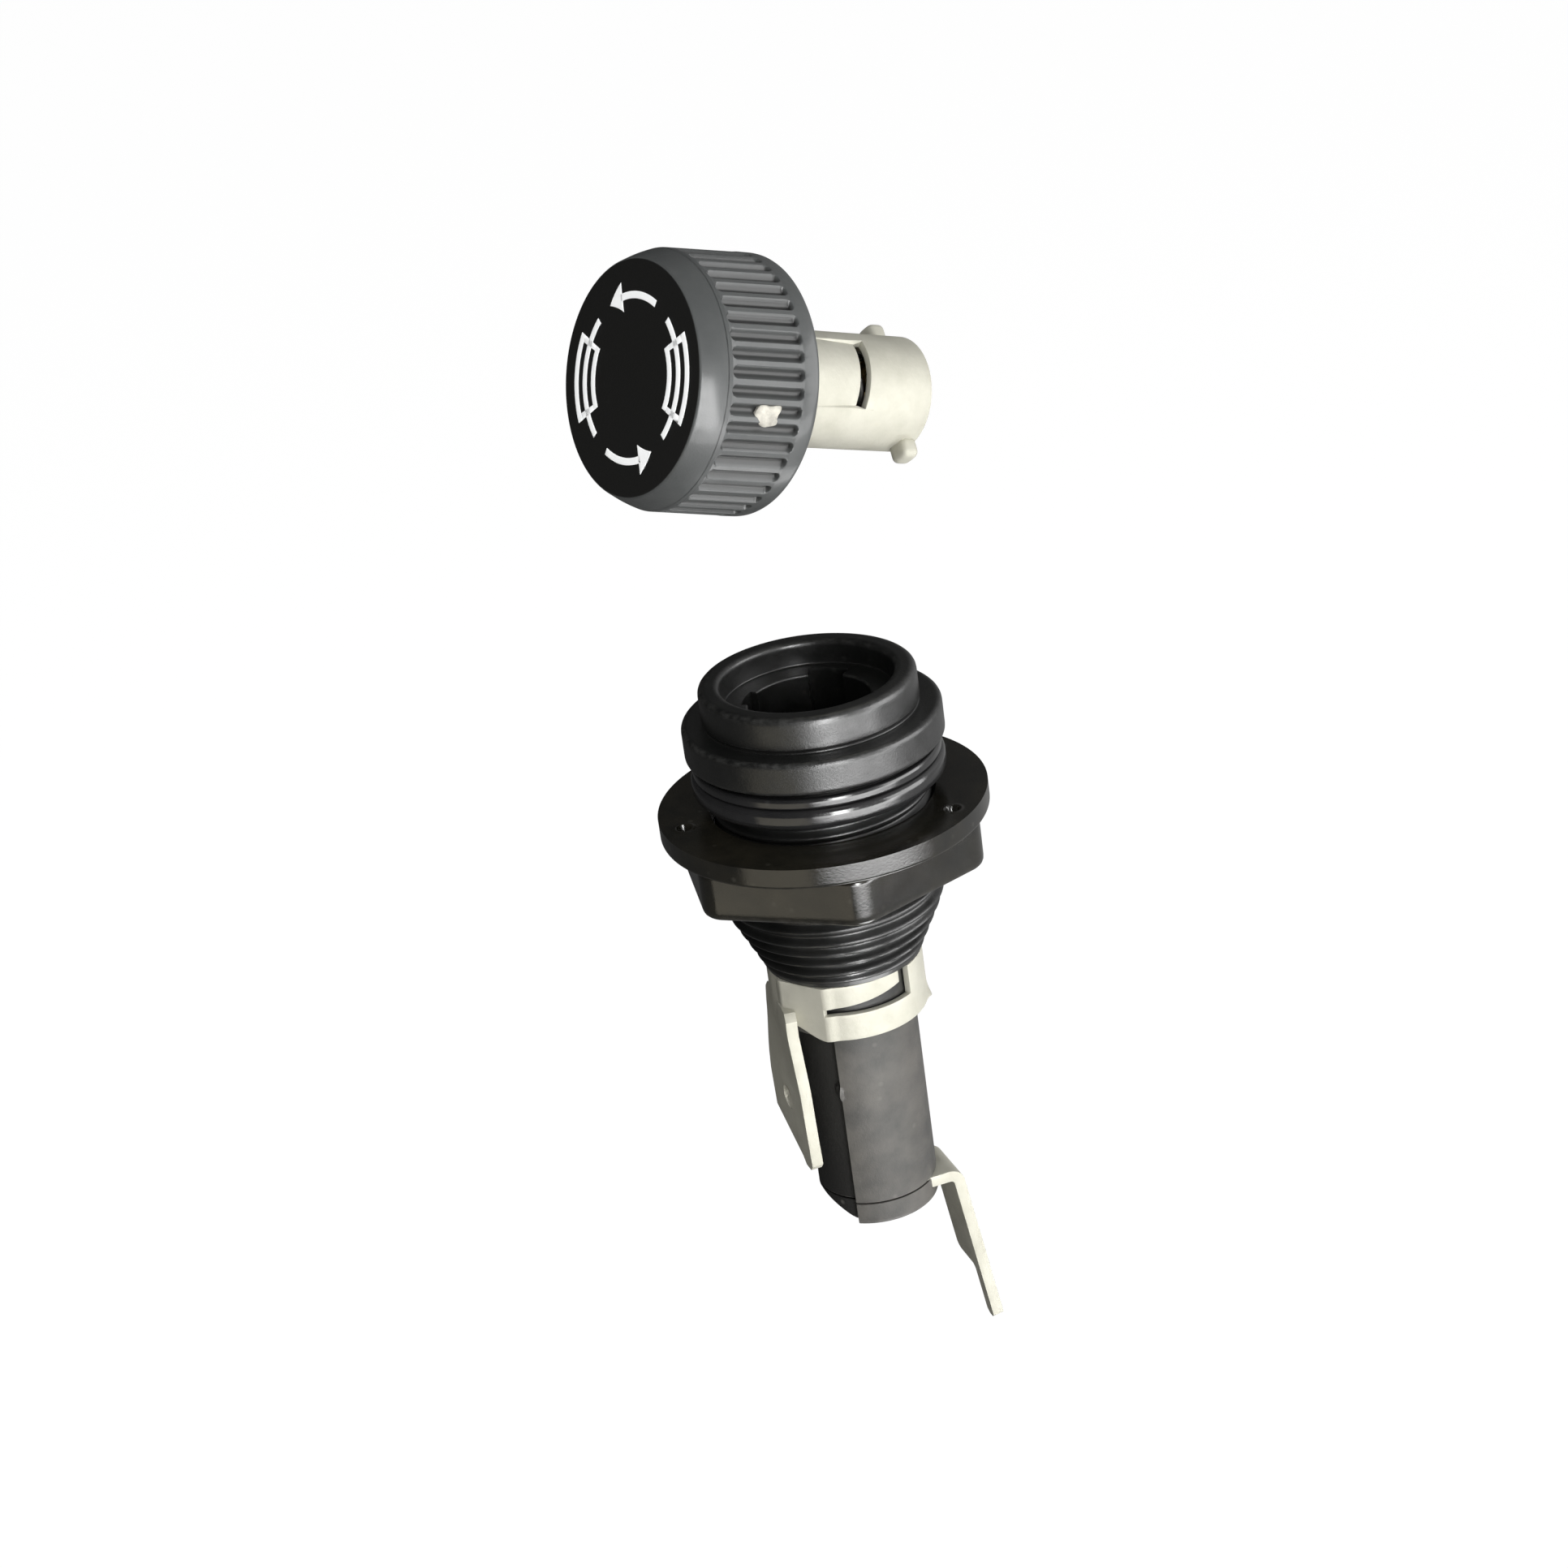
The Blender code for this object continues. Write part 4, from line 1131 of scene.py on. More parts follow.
@dataclass
class TubeEnd(Assembly):
    """The lower tube with its plug, end contact, rivet and bent end strip."""

    tube_r: float = 4.55
    neck_r: float = 4.9
    bore_r: float = 3.5
    tube_z: tuple[float, float, float] = (-33.9, -20.25, -18.5)
    foot: float = 0.3
    recess: Span = (-226.0, -127.0)
    groove: Span = (-20.0, 53.0)
    groove_depth: float = 0.65
    groove_wall: float = 0.6
    groove_top: float = 0.1  # below the tube's step
    nub_in: float = 3.0  # degrees from the recess's side
    nub_z: float = -25.0
    nub_half: Span = (5.5, 0.75)  # degrees and millimetres
    nub_out: float = 0.32
    nub_top: float = 0.6  # share of the nub that is flat
    nub_rows: Span = (-24.0, -26.1)
    row_steps: tuple[float, float, float] = (0.4, 0.1, 0.5)  # above, beside and below the nub
    plug_z: Span = (-35.7, -34.0)
    bevel_turn: float = -197.0
    bevel_from: float = 1.45
    bevel_rise: float = 0.7
    channel_turn: float = 45.8
    channel_gap: float = 0.1
    channel_spare: float = 0.05
    strip_t: float = 0.8
    strip_half: float = 3.15
    strip_z: float = -34.4
    strip_back: float = 2.4
    strip_out: float = 4.6
    bend_r: float = 0.75
    drop: float = 12.0
    splay: float = 1.75
    arm_to: float = 1.05
    arm_corner: float = 0.6
    lug_to: float = -1.95
    lug_down: float = 7.75
    lug_corner: float = 0.5
    tip_corner: float = 0.35
    cup_r: tuple[float, float, float] = (0.9, 1.65, 2.55)
    cup_z: tuple[float, float, float] = (-33.85, -33.3, -32.75)
    rivet_r: Span = (0.75, 1.3)
    rivet_z: tuple[float, float, float, float] = (-36.05, -35.75, -33.25, -32.95)

    def sunk(self, angles: Array) -> Array:
        """1 within the long recess and the long groove, and 0 between them."""
        return window(angles, *self.recess) + window(angles, *self.groove)

    def grooves(self, radius: Array, height: Array, angles: Array) -> tuple[Array, Array]:
        """Sink the recess and the groove in the tube's wall, and raise a nub beside the recess.

        Args:
            radius: Radii of the grid.
            height: Heights of the grid.
            angles: Angles of the columns.

        Returns:
            The changed radii and the same heights.
        """
        wall = (height < self.tube_z[1] - self.groove_top) & (radius > self.tube_r - self.groove_wall)
        radius = np.where(wall, radius - self.groove_depth * self.sunk(angles), radius)
        aside = apart(angles, self.recess[1] - self.nub_in) / self.nub_half[0]
        away = np.hypot(aside, (height - self.nub_z) / self.nub_half[1])
        nub = self.nub_out * (1.0 - ease(self.nub_top, 1.0, away))
        return radius + np.where(wall, nub, 0.0), height

    def tube(self) -> Surface:
        """Turn the tube's outline, with even rows down its length, and groove it.

        Returns:
            The tube's surface, with painted shade in its grooves.
        """
        low, step, high = self.tube_z
        top = [
            (self.bore_r, low, 0.0),
            (self.bore_r, high, 0.0),
            (self.neck_r, high, 0.1),
            (self.neck_r, step, 0.08),
            (self.tube_r, step, 0.05),
        ]
        over, beside, under = self.row_steps
        upper = np.arange(step - 0.12, self.nub_rows[0], -over)
        close = np.arange(*self.nub_rows, -beside)
        lower = np.arange(self.nub_rows[1] - 0.3, low + self.foot, -under)
        wall = straight(self.tube_r, np.concatenate([upper, close, lower]))
        foot = [(self.tube_r, low + self.foot, 0.0), (self.tube_r, low, 0.12), (self.bore_r, low, 0.0)]
        outline = joined(rounded(top, closed=False), wall, rounded(foot, closed=False))
        angles = round_angles(180, *self.recess, *self.groove)
        made = turned(outline, angles, self.grooves)
        # painted shade in the recess and the groove
        made.dark_face_and_painted_shade = (outline[0][:, 1] < step - self.groove_top)[:, None] * self.sunk(angles)[None]
        return made

    def plug_warp(self, radius: Array, height: Array, angles: Array) -> tuple[Array, Array]:
        """Carry on the tube's grooves, bevel one side, and lower the top under the strip.

        The bevel lifts the underside with the distance past a chord.

        Args:
            radius: Radii of the grid.
            height: Heights of the grid.
            angles: Angles of the columns.

        Returns:
            The changed radii and heights.
        """
        low, high = self.plug_z
        gap = self.channel_gap
        ahead, aside = radius * np.cos(angles), np.abs(radius * np.sin(angles))
        under = (ahead > -self.strip_back - gap) & (aside < self.strip_half + gap) & (height > high - 2 * gap)
        radius, _ = self.grooves(radius, height, angles)
        past = radius * np.cos(angles - np.radians(self.bevel_turn)) - self.bevel_from
        bevelled = np.minimum(low + self.bevel_rise * np.clip(past, 0.0, None), high - gap)
        height = np.where(height < high - gap, np.maximum(height, bevelled), height)
        return radius, np.where(under, high - self.strip_t - self.channel_spare, height)

    def plug(self) -> Surface:
        """Turn the plug: a short disc with a channel in its top that the strip lies in.

        Returns:
            The plug's surface, with painted shade in its grooves.
        """
        low, high = self.plug_z
        base = rounded([(0.0, low, 0.0), (self.tube_r, low, 0.4), (self.tube_r, high, 0.06)], closed=False)
        outline = joined(base, straight(np.linspace(self.tube_r - 0.2, 0.0, 24), high))
        sides = (-self.channel_turn, self.channel_turn)
        angles = round_angles(180, *sides, *self.recess, *self.groove)
        made = turned(outline, angles, self.plug_warp, along=False)
        # painted shade where the tube's recess and groove run on
        made.dark_face_and_painted_shade = (outline[0][:, 0] > self.tube_r - 0.5)[:, None] * self.sunk(angles)[None]
        return made

    def strip(self) -> Surface:
        """The end strip: a path carried across its width.

        The path runs flat, turns down on a quarter circle, and drops with a
        slight splay. One side tapers in to the arm's width before the bend, and
        steps in again further down, with round corners, to leave the lug.

        Returns:
            The strip's middle surface.
        """
        ahead = np.linspace(-self.strip_back, self.strip_out - 0.2, 8)
        flat = np.stack(np.broadcast_arrays(ahead, self.strip_z), axis=-1)
        swing = np.linspace(0.0, np.pi / 2, 10)
        turning = np.stack([np.sin(swing), np.cos(swing) - 1.0], axis=-1)
        bend = np.array([self.strip_out, self.strip_z]) + self.bend_r * turning
        near_lug = (self.lug_down + np.linspace(-0.7, 0.7, 29)) / self.drop
        share = np.unique(np.concatenate([np.linspace(0.02, 1.0, 40), near_lug]))
        fall = bend[-1] + share[:, None] * np.array([self.splay, -self.drop])
        path = np.concatenate([flat, bend, fall])
        below = np.concatenate([np.zeros(len(flat) + len(bend)), self.drop * share])
        taper = np.clip((self.strip_out - path[:, 0]) / (self.strip_out + self.strip_back), 0.0, 1.0)
        arm = self.arm_to + (self.strip_half - self.arm_to) * taper
        arm -= self.arm_corner * quarter_round((below - self.lug_down) / self.arm_corner + 1.0)
        lug = self.lug_to + self.lug_corner * quarter_round((self.lug_down - below) / self.lug_corner + 1.0)
        far = np.where(below > self.lug_down, lug, arm)
        ends = self.tip_corner * quarter_round((below - self.drop) / self.tip_corner + 1.0)
        across = np.linspace(0.0, 1.0, 15)[None]
        wide = (ends - self.strip_half)[:, None] * (1 - across) + (far - ends)[:, None] * across
        grid = np.stack(np.broadcast_arrays(path[:, :1], wide, path[:, 1:]), axis=-1)
        return Surface(grid, across=False)

    def cup(self) -> Surface:
        """Turn the contact cup: a floor with a hole, and a low wall round it.

        Returns:
            The cup's surface.
        """
        hole, inner, outer = self.cup_r
        low, floor, high = self.cup_z
        corners = [
            (hole, low, 0.0),
            (outer, low, 0.15),
            (outer, high, 0.15),
            (inner, high, 0.1),
            (inner, floor, 0.1),
            (hole, floor, 0.0),
        ]
        return turned(rounded(corners), round_angles(64))

    def rivet(self) -> Surface:
        """Turn the rivet: a shank with a head at either end.

        Returns:
            The rivet's surface.
        """
        shank, head = self.rivet_r
        low, under, over, high = self.rivet_z
        corners = [
            (0.0, low, 0.0),
            (head, low, 0.2),
            (head, under, 0.0),
            (shank, under, 0.0),
            (shank, over, 0.0),
            (head, over, 0.0),
            (head, high, 0.2),
            (0.0, high, 0.0),
        ]
        return turned(rounded(corners, closed=False), round_angles(48), along=False)

    def build(self) -> None:
        """Add the tube, the plug, the strip, the contact cup and the rivet."""
        sheet = Wall(self.strip_t, 0.12)
        self.add("grey_tube", [self.tube()], Body.HOLDER, "lower_tube", TUBE_MOULDING)
        self.add("tube_plug", [self.plug()], Body.HOLDER, "end_plug", TUBE_MOULDING)
        self.add("end_strip", [self.strip()], Body.HOLDER, "end_terminal", TIN_PLATE, sheet)
        self.add("contact_cup", [self.cup()], Body.HOLDER, "end_contact", BRASS)
        self.add("end_rivet_brass", [self.rivet()], Body.HOLDER, "end_rivet", BRASS)


@dataclass
class Knob(Assembly):
    """The knurled knob with its face marks, index spot and seal."""

    length: float = 8.6
    rear_r: float = 8.4
    front_r: float = 8.28
    face_r: float = 7.5
    shoulder_r: float = 8.05
    shoulder_z: float = 7.4
    knurl_z: Span = (1.2, 6.65)
    knurl_depth: float = 0.36
    knurl_half: float = 0.34  # share of a rib's angle
    knurl_end: float = 0.3
    knurl_ease: float = 0.14
    knurl_row: float = 0.06
    # share of the darker tone painted into the grooves' bottom as shade
    painted_groove_shade: float = 0.9
    ribs: int = 45
    columns: int = 16
    bore_r: float = 7.65
    wall: float = 0.2
    cavity_z: float = 4.2
    boss_r: float = 5.3
    boss_z: float = 2.2
    hole_r: float = 3.9
    seat_z: float = 6.8
    spot_z: float = 3.7
    spot_turn: float = -94.0
    spot_half: Span = (0.874, 0.69)
    spot_out: float = 0.06
    spot_share: tuple[float, ...] = (0.0, 0.25, 0.5, 0.7, 0.85, 0.95, 1.0, 1.0, 0.5, 0.0)
    spot_lift: tuple[float, ...] = (0.06, 0.06, 0.05, 0.035, 0.01, -0.04, -0.1, -0.3, -0.3, -0.3)
    print_r: float = 5.2
    print_half: float = 0.95
    print_turns: Span = (100.0, 280.0)
    print_wall: Wall = Wall(0.03, 0.005)
    stroke: float = 0.46
    box_half: float = 27.0  # degrees
    box_end: float = 4.5  # degrees
    line_half: float = 44.0  # degrees
    arrow: Span = (62.0, 106.0)
    arrow_head: Span = (104.0, 120.0)
    seal_r: Span = (5.42, 7.55)
    seal_z: Span = (3.02, 4.1)

    def sunk(self, height: Array, angles: Array) -> Array:
        """1 at the bottom of the grip's grooves and 0 on its ribs.

        A groove is a parabola over the middle two thirds of the angle's share of
        a rib, and its two ends are round.

        Args:
            height: Heights of the grid.
            angles: Angles of the columns.

        Returns:
            The share of the groove's depth at each point.
        """
        way = np.abs((angles * self.ribs / (2 * np.pi)) % 1.0 - 0.5) / self.knurl_half
        floor = np.clip(1.0 - way**2, 0.0, 1.0)
        low = self.knurl_z[0] + self.knurl_end * quarter_round(way)
        high = self.knurl_z[1] - self.knurl_end * quarter_round(way)
        within = ease(low, low + self.knurl_ease, height) * (1.0 - ease(high - self.knurl_ease, high, height))
        return floor * within

    def knurl(self, radius: Array, height: Array, angles: Array) -> tuple[Array, Array]:
        """Cut the grip's grooves to their depth.

        Args:
            radius: Radii of the grid.
            height: Heights of the grid.
            angles: Angles of the columns.

        Returns:
            The changed radii and the same heights.
        """
        outside = radius > self.bore_r + self.wall
        return np.where(outside, radius - self.knurl_depth * self.sunk(height, angles), radius), height

    def body(self) -> Surface:
        """Turn the knob's outline from the middle of its face round to its seat, and knurl it.

        Returns:
            The knob's surface, dark on its face and with painted shade in its grooves.
        """
        low, high = self.knurl_z
        front = [
            (0.0, self.length, 0.0),
            (self.face_r, self.length, 0.16),
            (self.shoulder_r, self.shoulder_z, 0.55),
            (self.front_r, high, 0.3),
        ]
        close, plain = 0.8, 1.0
        upper = np.arange(high, high - close, -self.knurl_row)
        middle = np.linspace(high - plain, low + plain, 9)
        lower = np.arange(low + close, low - SLACK, -self.knurl_row)
        rows = np.concatenate([upper, middle, lower])
        grip = straight(self.front_r + (self.rear_r - self.front_r) * (high - rows) / high, rows)
        inside = [
            (self.rear_r, low - 0.05, 0.0),
            (self.rear_r, 0.0, 0.35),
            (self.bore_r, 0.0, 0.2),
            (self.bore_r, self.cavity_z, 0.0),
            (self.boss_r, self.cavity_z, 0.0),
            (self.boss_r, self.boss_z, 0.15),
            (self.hole_r, self.boss_z, 0.1),
            (self.hole_r, self.seat_z, 0.0),
            (0.0, self.seat_z, 0.0),
        ]
        outline = joined(rounded(front, closed=False, steps=8), grip, rounded(inside, closed=False))
        angles = round_angles(self.ribs * self.columns)
        made = turned(outline, angles, self.knurl, along=False)
        radius, height = outline[0][:, :1], outline[0][:, 1:]
        face = (height > self.length - 0.05) & (radius < self.face_r - 0.05)
        outside = radius > self.bore_r + self.wall
        # the face takes its own black; the grooves take painted shade
        made.dark_face_and_painted_shade = np.maximum(face, self.painted_groove_shade * outside * self.sunk(height, angles[None]))
        return made

    def arc(self, inner: float, outer: float, start: float, stop: float) -> Surface:
        """A stroke on the face between two radii and two angles in degrees.

        Args:
            inner: Inner radius.
            outer: Outer radius.
            start: First angle.
            stop: Last angle.

        Returns:
            The stroke's flat surface.
        """
        radius = np.linspace(inner, outer, 4)[:, None]
        turn = np.radians(np.linspace(start, stop, max(3, int(abs(stop - start) / 2))))[None]
        return Surface(polar(radius, turn, self.length), across=False)

    def head(self, tip: float, back: float) -> Surface:
        """An arrow's head: a triangle whose width grows evenly from its tip to its back.

        Args:
            tip: Angle of the tip, in degrees.
            back: Angle of the back, in degrees.

        Returns:
            The head's flat surface.
        """
        share = np.linspace(0.02, 1.0, 8)[:, None]
        aside = np.linspace(-1.0, 1.0, 7)[None]
        radius = self.print_r + self.print_half * share * aside
        return Surface(polar(radius, np.radians(tip + (back - tip) * share), self.length), across=False)

    def marks(self) -> list[Surface]:
        """Two fuse signs, a box with a line through it, each with an arrow for the turn.

        Returns:
            The strokes' surfaces.
        """
        made: list[Surface] = []
        half = self.stroke / 2.0
        inner, outer = self.print_r - self.print_half, self.print_r + self.print_half
        line = (self.print_r - half, self.print_r + half)
        end = self.box_half - self.box_end
        for turn in self.print_turns:
            made += [
                self.arc(inner - half, inner + half, turn - self.box_half, turn + self.box_half),
                self.arc(outer - half, outer + half, turn - self.box_half, turn + self.box_half),
                self.arc(inner + half, outer - half, turn - self.box_half, turn - end),
                self.arc(inner + half, outer - half, turn + end, turn + self.box_half),
                self.arc(*line, turn - self.line_half, turn + self.line_half),
                self.arc(*line, turn + self.arrow[0], turn + self.arrow[1]),
                self.head(turn + self.arrow_head[1], turn + self.arrow_head[0]),
            ]
        return made

    def spot(self) -> Surface:
        """The index spot: a low dome over an uneven round outline, closed underneath.

        The outline is a squared circle, |cos p|^4 + |sin p|^4, with a little of
        sin 3p and sin 5p, stretched to the spot's two sizes and wrapped round
        the grip.

        Returns:
            The spot's surface.
        """
        around = np.linspace(-np.pi, np.pi, 49)[:-1][None]
        share = np.array(self.spot_share)[:, None]
        lift = np.array(self.spot_lift)[:, None]
        uneven = 1.0 + 0.1 * np.sin(3 * around + 0.6) + 0.07 * np.sin(5 * around + 2.0)
        squared = uneven / (np.abs(np.cos(around)) ** 4 + np.abs(np.sin(around)) ** 4) ** 0.25
        along = self.spot_z + self.spot_half[0] * share * squared * np.cos(around)
        aside = self.spot_half[1] * share * squared * np.sin(around)
        bumps = 0.02 * np.sin(9.0 * along) * np.sin(11.0 * aside) * (share < 0.9)
        radius = self.front_r + self.spot_out + lift + bumps
        return Surface(polar(radius, np.radians(self.spot_turn) + aside / self.rear_r, along))

    def build(self) -> None:
        """Add the knob, its marks, the spot and the seal."""
        seal = turned(ring(self.seal_r, self.seal_z, 0.15), round_angles(96))
        self.add("knurled_knob", [self.body()], Body.CAP, "knob", GRIP_MOULDING)
        self.add("face_marks", self.marks(), Body.CAP, "knob", WHITE_INK, self.print_wall)
        self.add("index_spot", [self.spot()], Body.CAP, "index_inlay", PALE_SPOT)
        self.add("rubber_seal", [seal], Body.SEAL, "knob_seal", RUBBER)


@dataclass
class Carrier(Assembly):
    """The tinned fuse carrier with its ears, retainer, plunger and spring."""

    tube_r: float = 3.55
    tube_t: float = 0.5
    tube_z: Span = (-12.6, 6.45)
    tongue: Span = (-99.0, -20.0)
    tongue_z: Span = (-6.95, -1.0)
    tongue_side: float = 0.7  # degrees
    slit: float = 0.72
    slant: float = 0.35
    tuck: float = 0.22
    ear_r: float = 4.2
    ear_half: tuple[float, float, float] = (0.7, 0.85, 0.65)
    ear_power: float = 0.55
    ear_z: float = -11.95
    ear_turns: Span = (38.0, 218.0)
    clip_r: Span = (3.9, 5.0)
    clip_z: Span = (1.5, 2.1)
    button_r: tuple[float, float, float] = (1.5, 2.1, 3.05)
    button_z: tuple[float, float, float] = (-12.2, -11.7, -10.6)
    spring_r: float = 2.45
    spring_wire: float = 0.225
    spring_turns: int = 9
    spring_z: Span = (-10.275, 5.875)
    spring_ends: Span = (0.4, 1.2)  # turns over which the pitch opens
    spring_close: float = 0.3  # share of the pitch in the first and last turn

    def tube(self) -> Surface:
        """The carrier's sheet: a closed end, a wall, and a tongue that a slit cuts off at its tip.

        The tongue leans in with the square of the way to its tip and steps back
        at its sides. The slit slants a little, so the rows near it climb with the
        angle.

        Returns:
            The carrier's middle surface.
        """
        low, high = self.tube_z
        first, last = self.tongue
        tip, root = self.tongue_z
        foot = tip - self.slit
        sides = [side + step for side in self.tongue for step in (-self.tongue_side, self.tongue_side)]
        degrees = marked_degrees(120, sides)
        crown = [(0.0, high), (1.2, high), (2.4, high), (3.1, high), (3.4, high - 0.06), (3.52, high - 0.2)]
        crown.append((self.tube_r, high - 0.4))
        rows = [np.linspace(low, foot, 9), np.linspace(tip, root, 18), np.linspace(root, high - 0.8, 12)]
        wall, _ = straight(self.tube_r, np.unique(np.concatenate(rows))[::-1])
        outline = np.concatenate([crown, wall])
        radius = np.repeat(outline[:, :1], len(degrees), axis=1)
        height = np.repeat(outline[:, 1:], len(degrees), axis=1)
        turn = np.radians(degrees)[None]
        way = np.clip((root - height) / (root - tip), 0.0, 1.0)
        bent = (height > foot + NEAR) * window(turn, first, last, self.tongue_side)
        radius = radius - self.tuck * way**2 * bent
        near = np.minimum(way, np.clip((height - low) / (foot - low), 0.0, 1.0))
        swing = apart(turn, (first + last) / 2.0) / ((last - first) / 2.0)
        climb = np.clip(swing, -1.0, 1.0) * (1.0 - ease(1.0, 2.0, np.abs(swing)))
        points = polar(radius, turn, height - self.slant * near * climb)
        middle = halfway(degrees)[None]
        centre = ((outline[:-1, 1] + outline[1:, 1]) / 2.0)[:, None]
        gap = (centre < tip) & (centre > foot) & (middle > first) & (middle < last)
        return Surface(points, keep=~gap)

    def ear(self, turn: float) -> Surface:
        """A rounded ear: a box whose sides bulge, |x/a|^n + |y/b|^n + |z/c|^n = 1.

        Args:
            turn: Its angle round the carrier, in degrees.

        Returns:
            The ear's surface.
        """
        up = np.linspace(-np.pi / 2, np.pi / 2, 25)[:, None]
        around = np.linspace(-np.pi, np.pi, 49)[:-1][None]

        def bulge(value: Array) -> Array:
            """A cosine or sine raised to the ear's power, keeping its sign."""
            return np.sign(value) * np.abs(value) ** self.ear_power

        radius = self.ear_r + self.ear_half[0] * bulge(np.cos(up)) * bulge(np.cos(around))
        aside = self.ear_half[1] * bulge(np.cos(up)) * bulge(np.sin(around))
        along = self.ear_half[2] * bulge(np.sin(up)) * np.ones_like(around)
        swing = np.radians(turn)
        x = radius * np.cos(swing) - aside * np.sin(swing)
        y = radius * np.sin(swing) + aside * np.cos(swing)
        return Surface(np.stack([x, y, self.ear_z + along], axis=-1))

    def button(self) -> Surface:
        """Turn the plunger: a disc with a dished face.

        Returns:
            The plunger's surface.
        """
        dish, lip, outer = self.button_r
        low, floor, high = self.button_z
        corners = [
            (0.0, floor, 0.0),
            (dish, floor, 0.2),
            (lip, low, 0.15),
            (outer, low, 0.25),
            (outer, high, 0.15),
            (0.0, high, 0.0),
        ]
        return turned(rounded(corners, closed=False), round_angles(72), along=False)

    def spring(self) -> Surface:
        """The coil spring: a circle of wire carried along a helix, closed at both ends.

        The pitch shrinks to a share of itself over the first and last turn.

        Returns:
            The spring's surface.
        """
        low, high = self.spring_z
        turns = np.linspace(0.0, 1.0, self.spring_turns * 28 + 1) * self.spring_turns
        opened = ease(*self.spring_ends, turns) * ease(*self.spring_ends, self.spring_turns - turns)
        rate = self.spring_close + (1.0 - self.spring_close) * opened
        climb = np.concatenate([[0.0], np.cumsum((rate[1:] + rate[:-1]) / 2)])
        height = low + (high - low) * climb / climb[-1]
        angle = 2 * np.pi * turns
        path = polar(self.spring_r, angle, height)
        ahead = unit(np.gradient(path, axis=0))
        outward = polar(1.0, angle, 0.0)
        upward = np.cross(ahead, outward)
        around = np.linspace(0.0, 2 * np.pi, 11)[:-1][None, :, None]
        loop = np.cos(around) * outward[:, None] + np.sin(around) * upward[:, None]
        tube = path[:, None] + self.spring_wire * loop
        ends = [np.repeat(path[at][None, None], tube.shape[1], axis=1) for at in (0, -1)]
        return Surface(np.concatenate([ends[0], tube, ends[1]], axis=0))

    def build(self, slide: Array) -> None:
        """Add the carrier's pieces.

        Args:
            slide: Direction in which the cap slides into the holder. Not used.
        """
        self.add("carrier_tube", [self.tube()], Body.CAP, "fuse_carrier", TIN_PLATE, Wall(self.tube_t, 0.1))
        for number, turn in enumerate(self.ear_turns, 1):
            self.add(f"bayonet_ear_{number}", [self.ear(turn)], Body.CAP, "fuse_carrier", TIN_PLATE)
        clip = turned(ring(self.clip_r, self.clip_z, 0.15), round_angles(72))
        self.add("retaining_clip", [clip], Body.CAP, "carrier_retainer", STEEL)
        self.add("plunger_button", [self.button()], Body.PLUNGER, "carrier_plunger", BRASS)
        spring = self.add("coil_spring", [self.spring()], Body.CAP, "carrier_spring", STEEL)
        fixed = self.place.put(np.array([0.0, 0.0, self.spring_z[1] + self.spring_wire])) * MM
        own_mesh(spring)


@dataclass(frozen=True)
class Lamp:
    """A soft lamp that faces the holder."""

    name: str
    turn: float  # degrees from the front
    rise: float  # degrees from level
    away: float  # metres
    size: Span  # metres
    power: float  # watts
    colour: Colour = (1.0, 1.0, 1.0)
    mirrored: bool = True


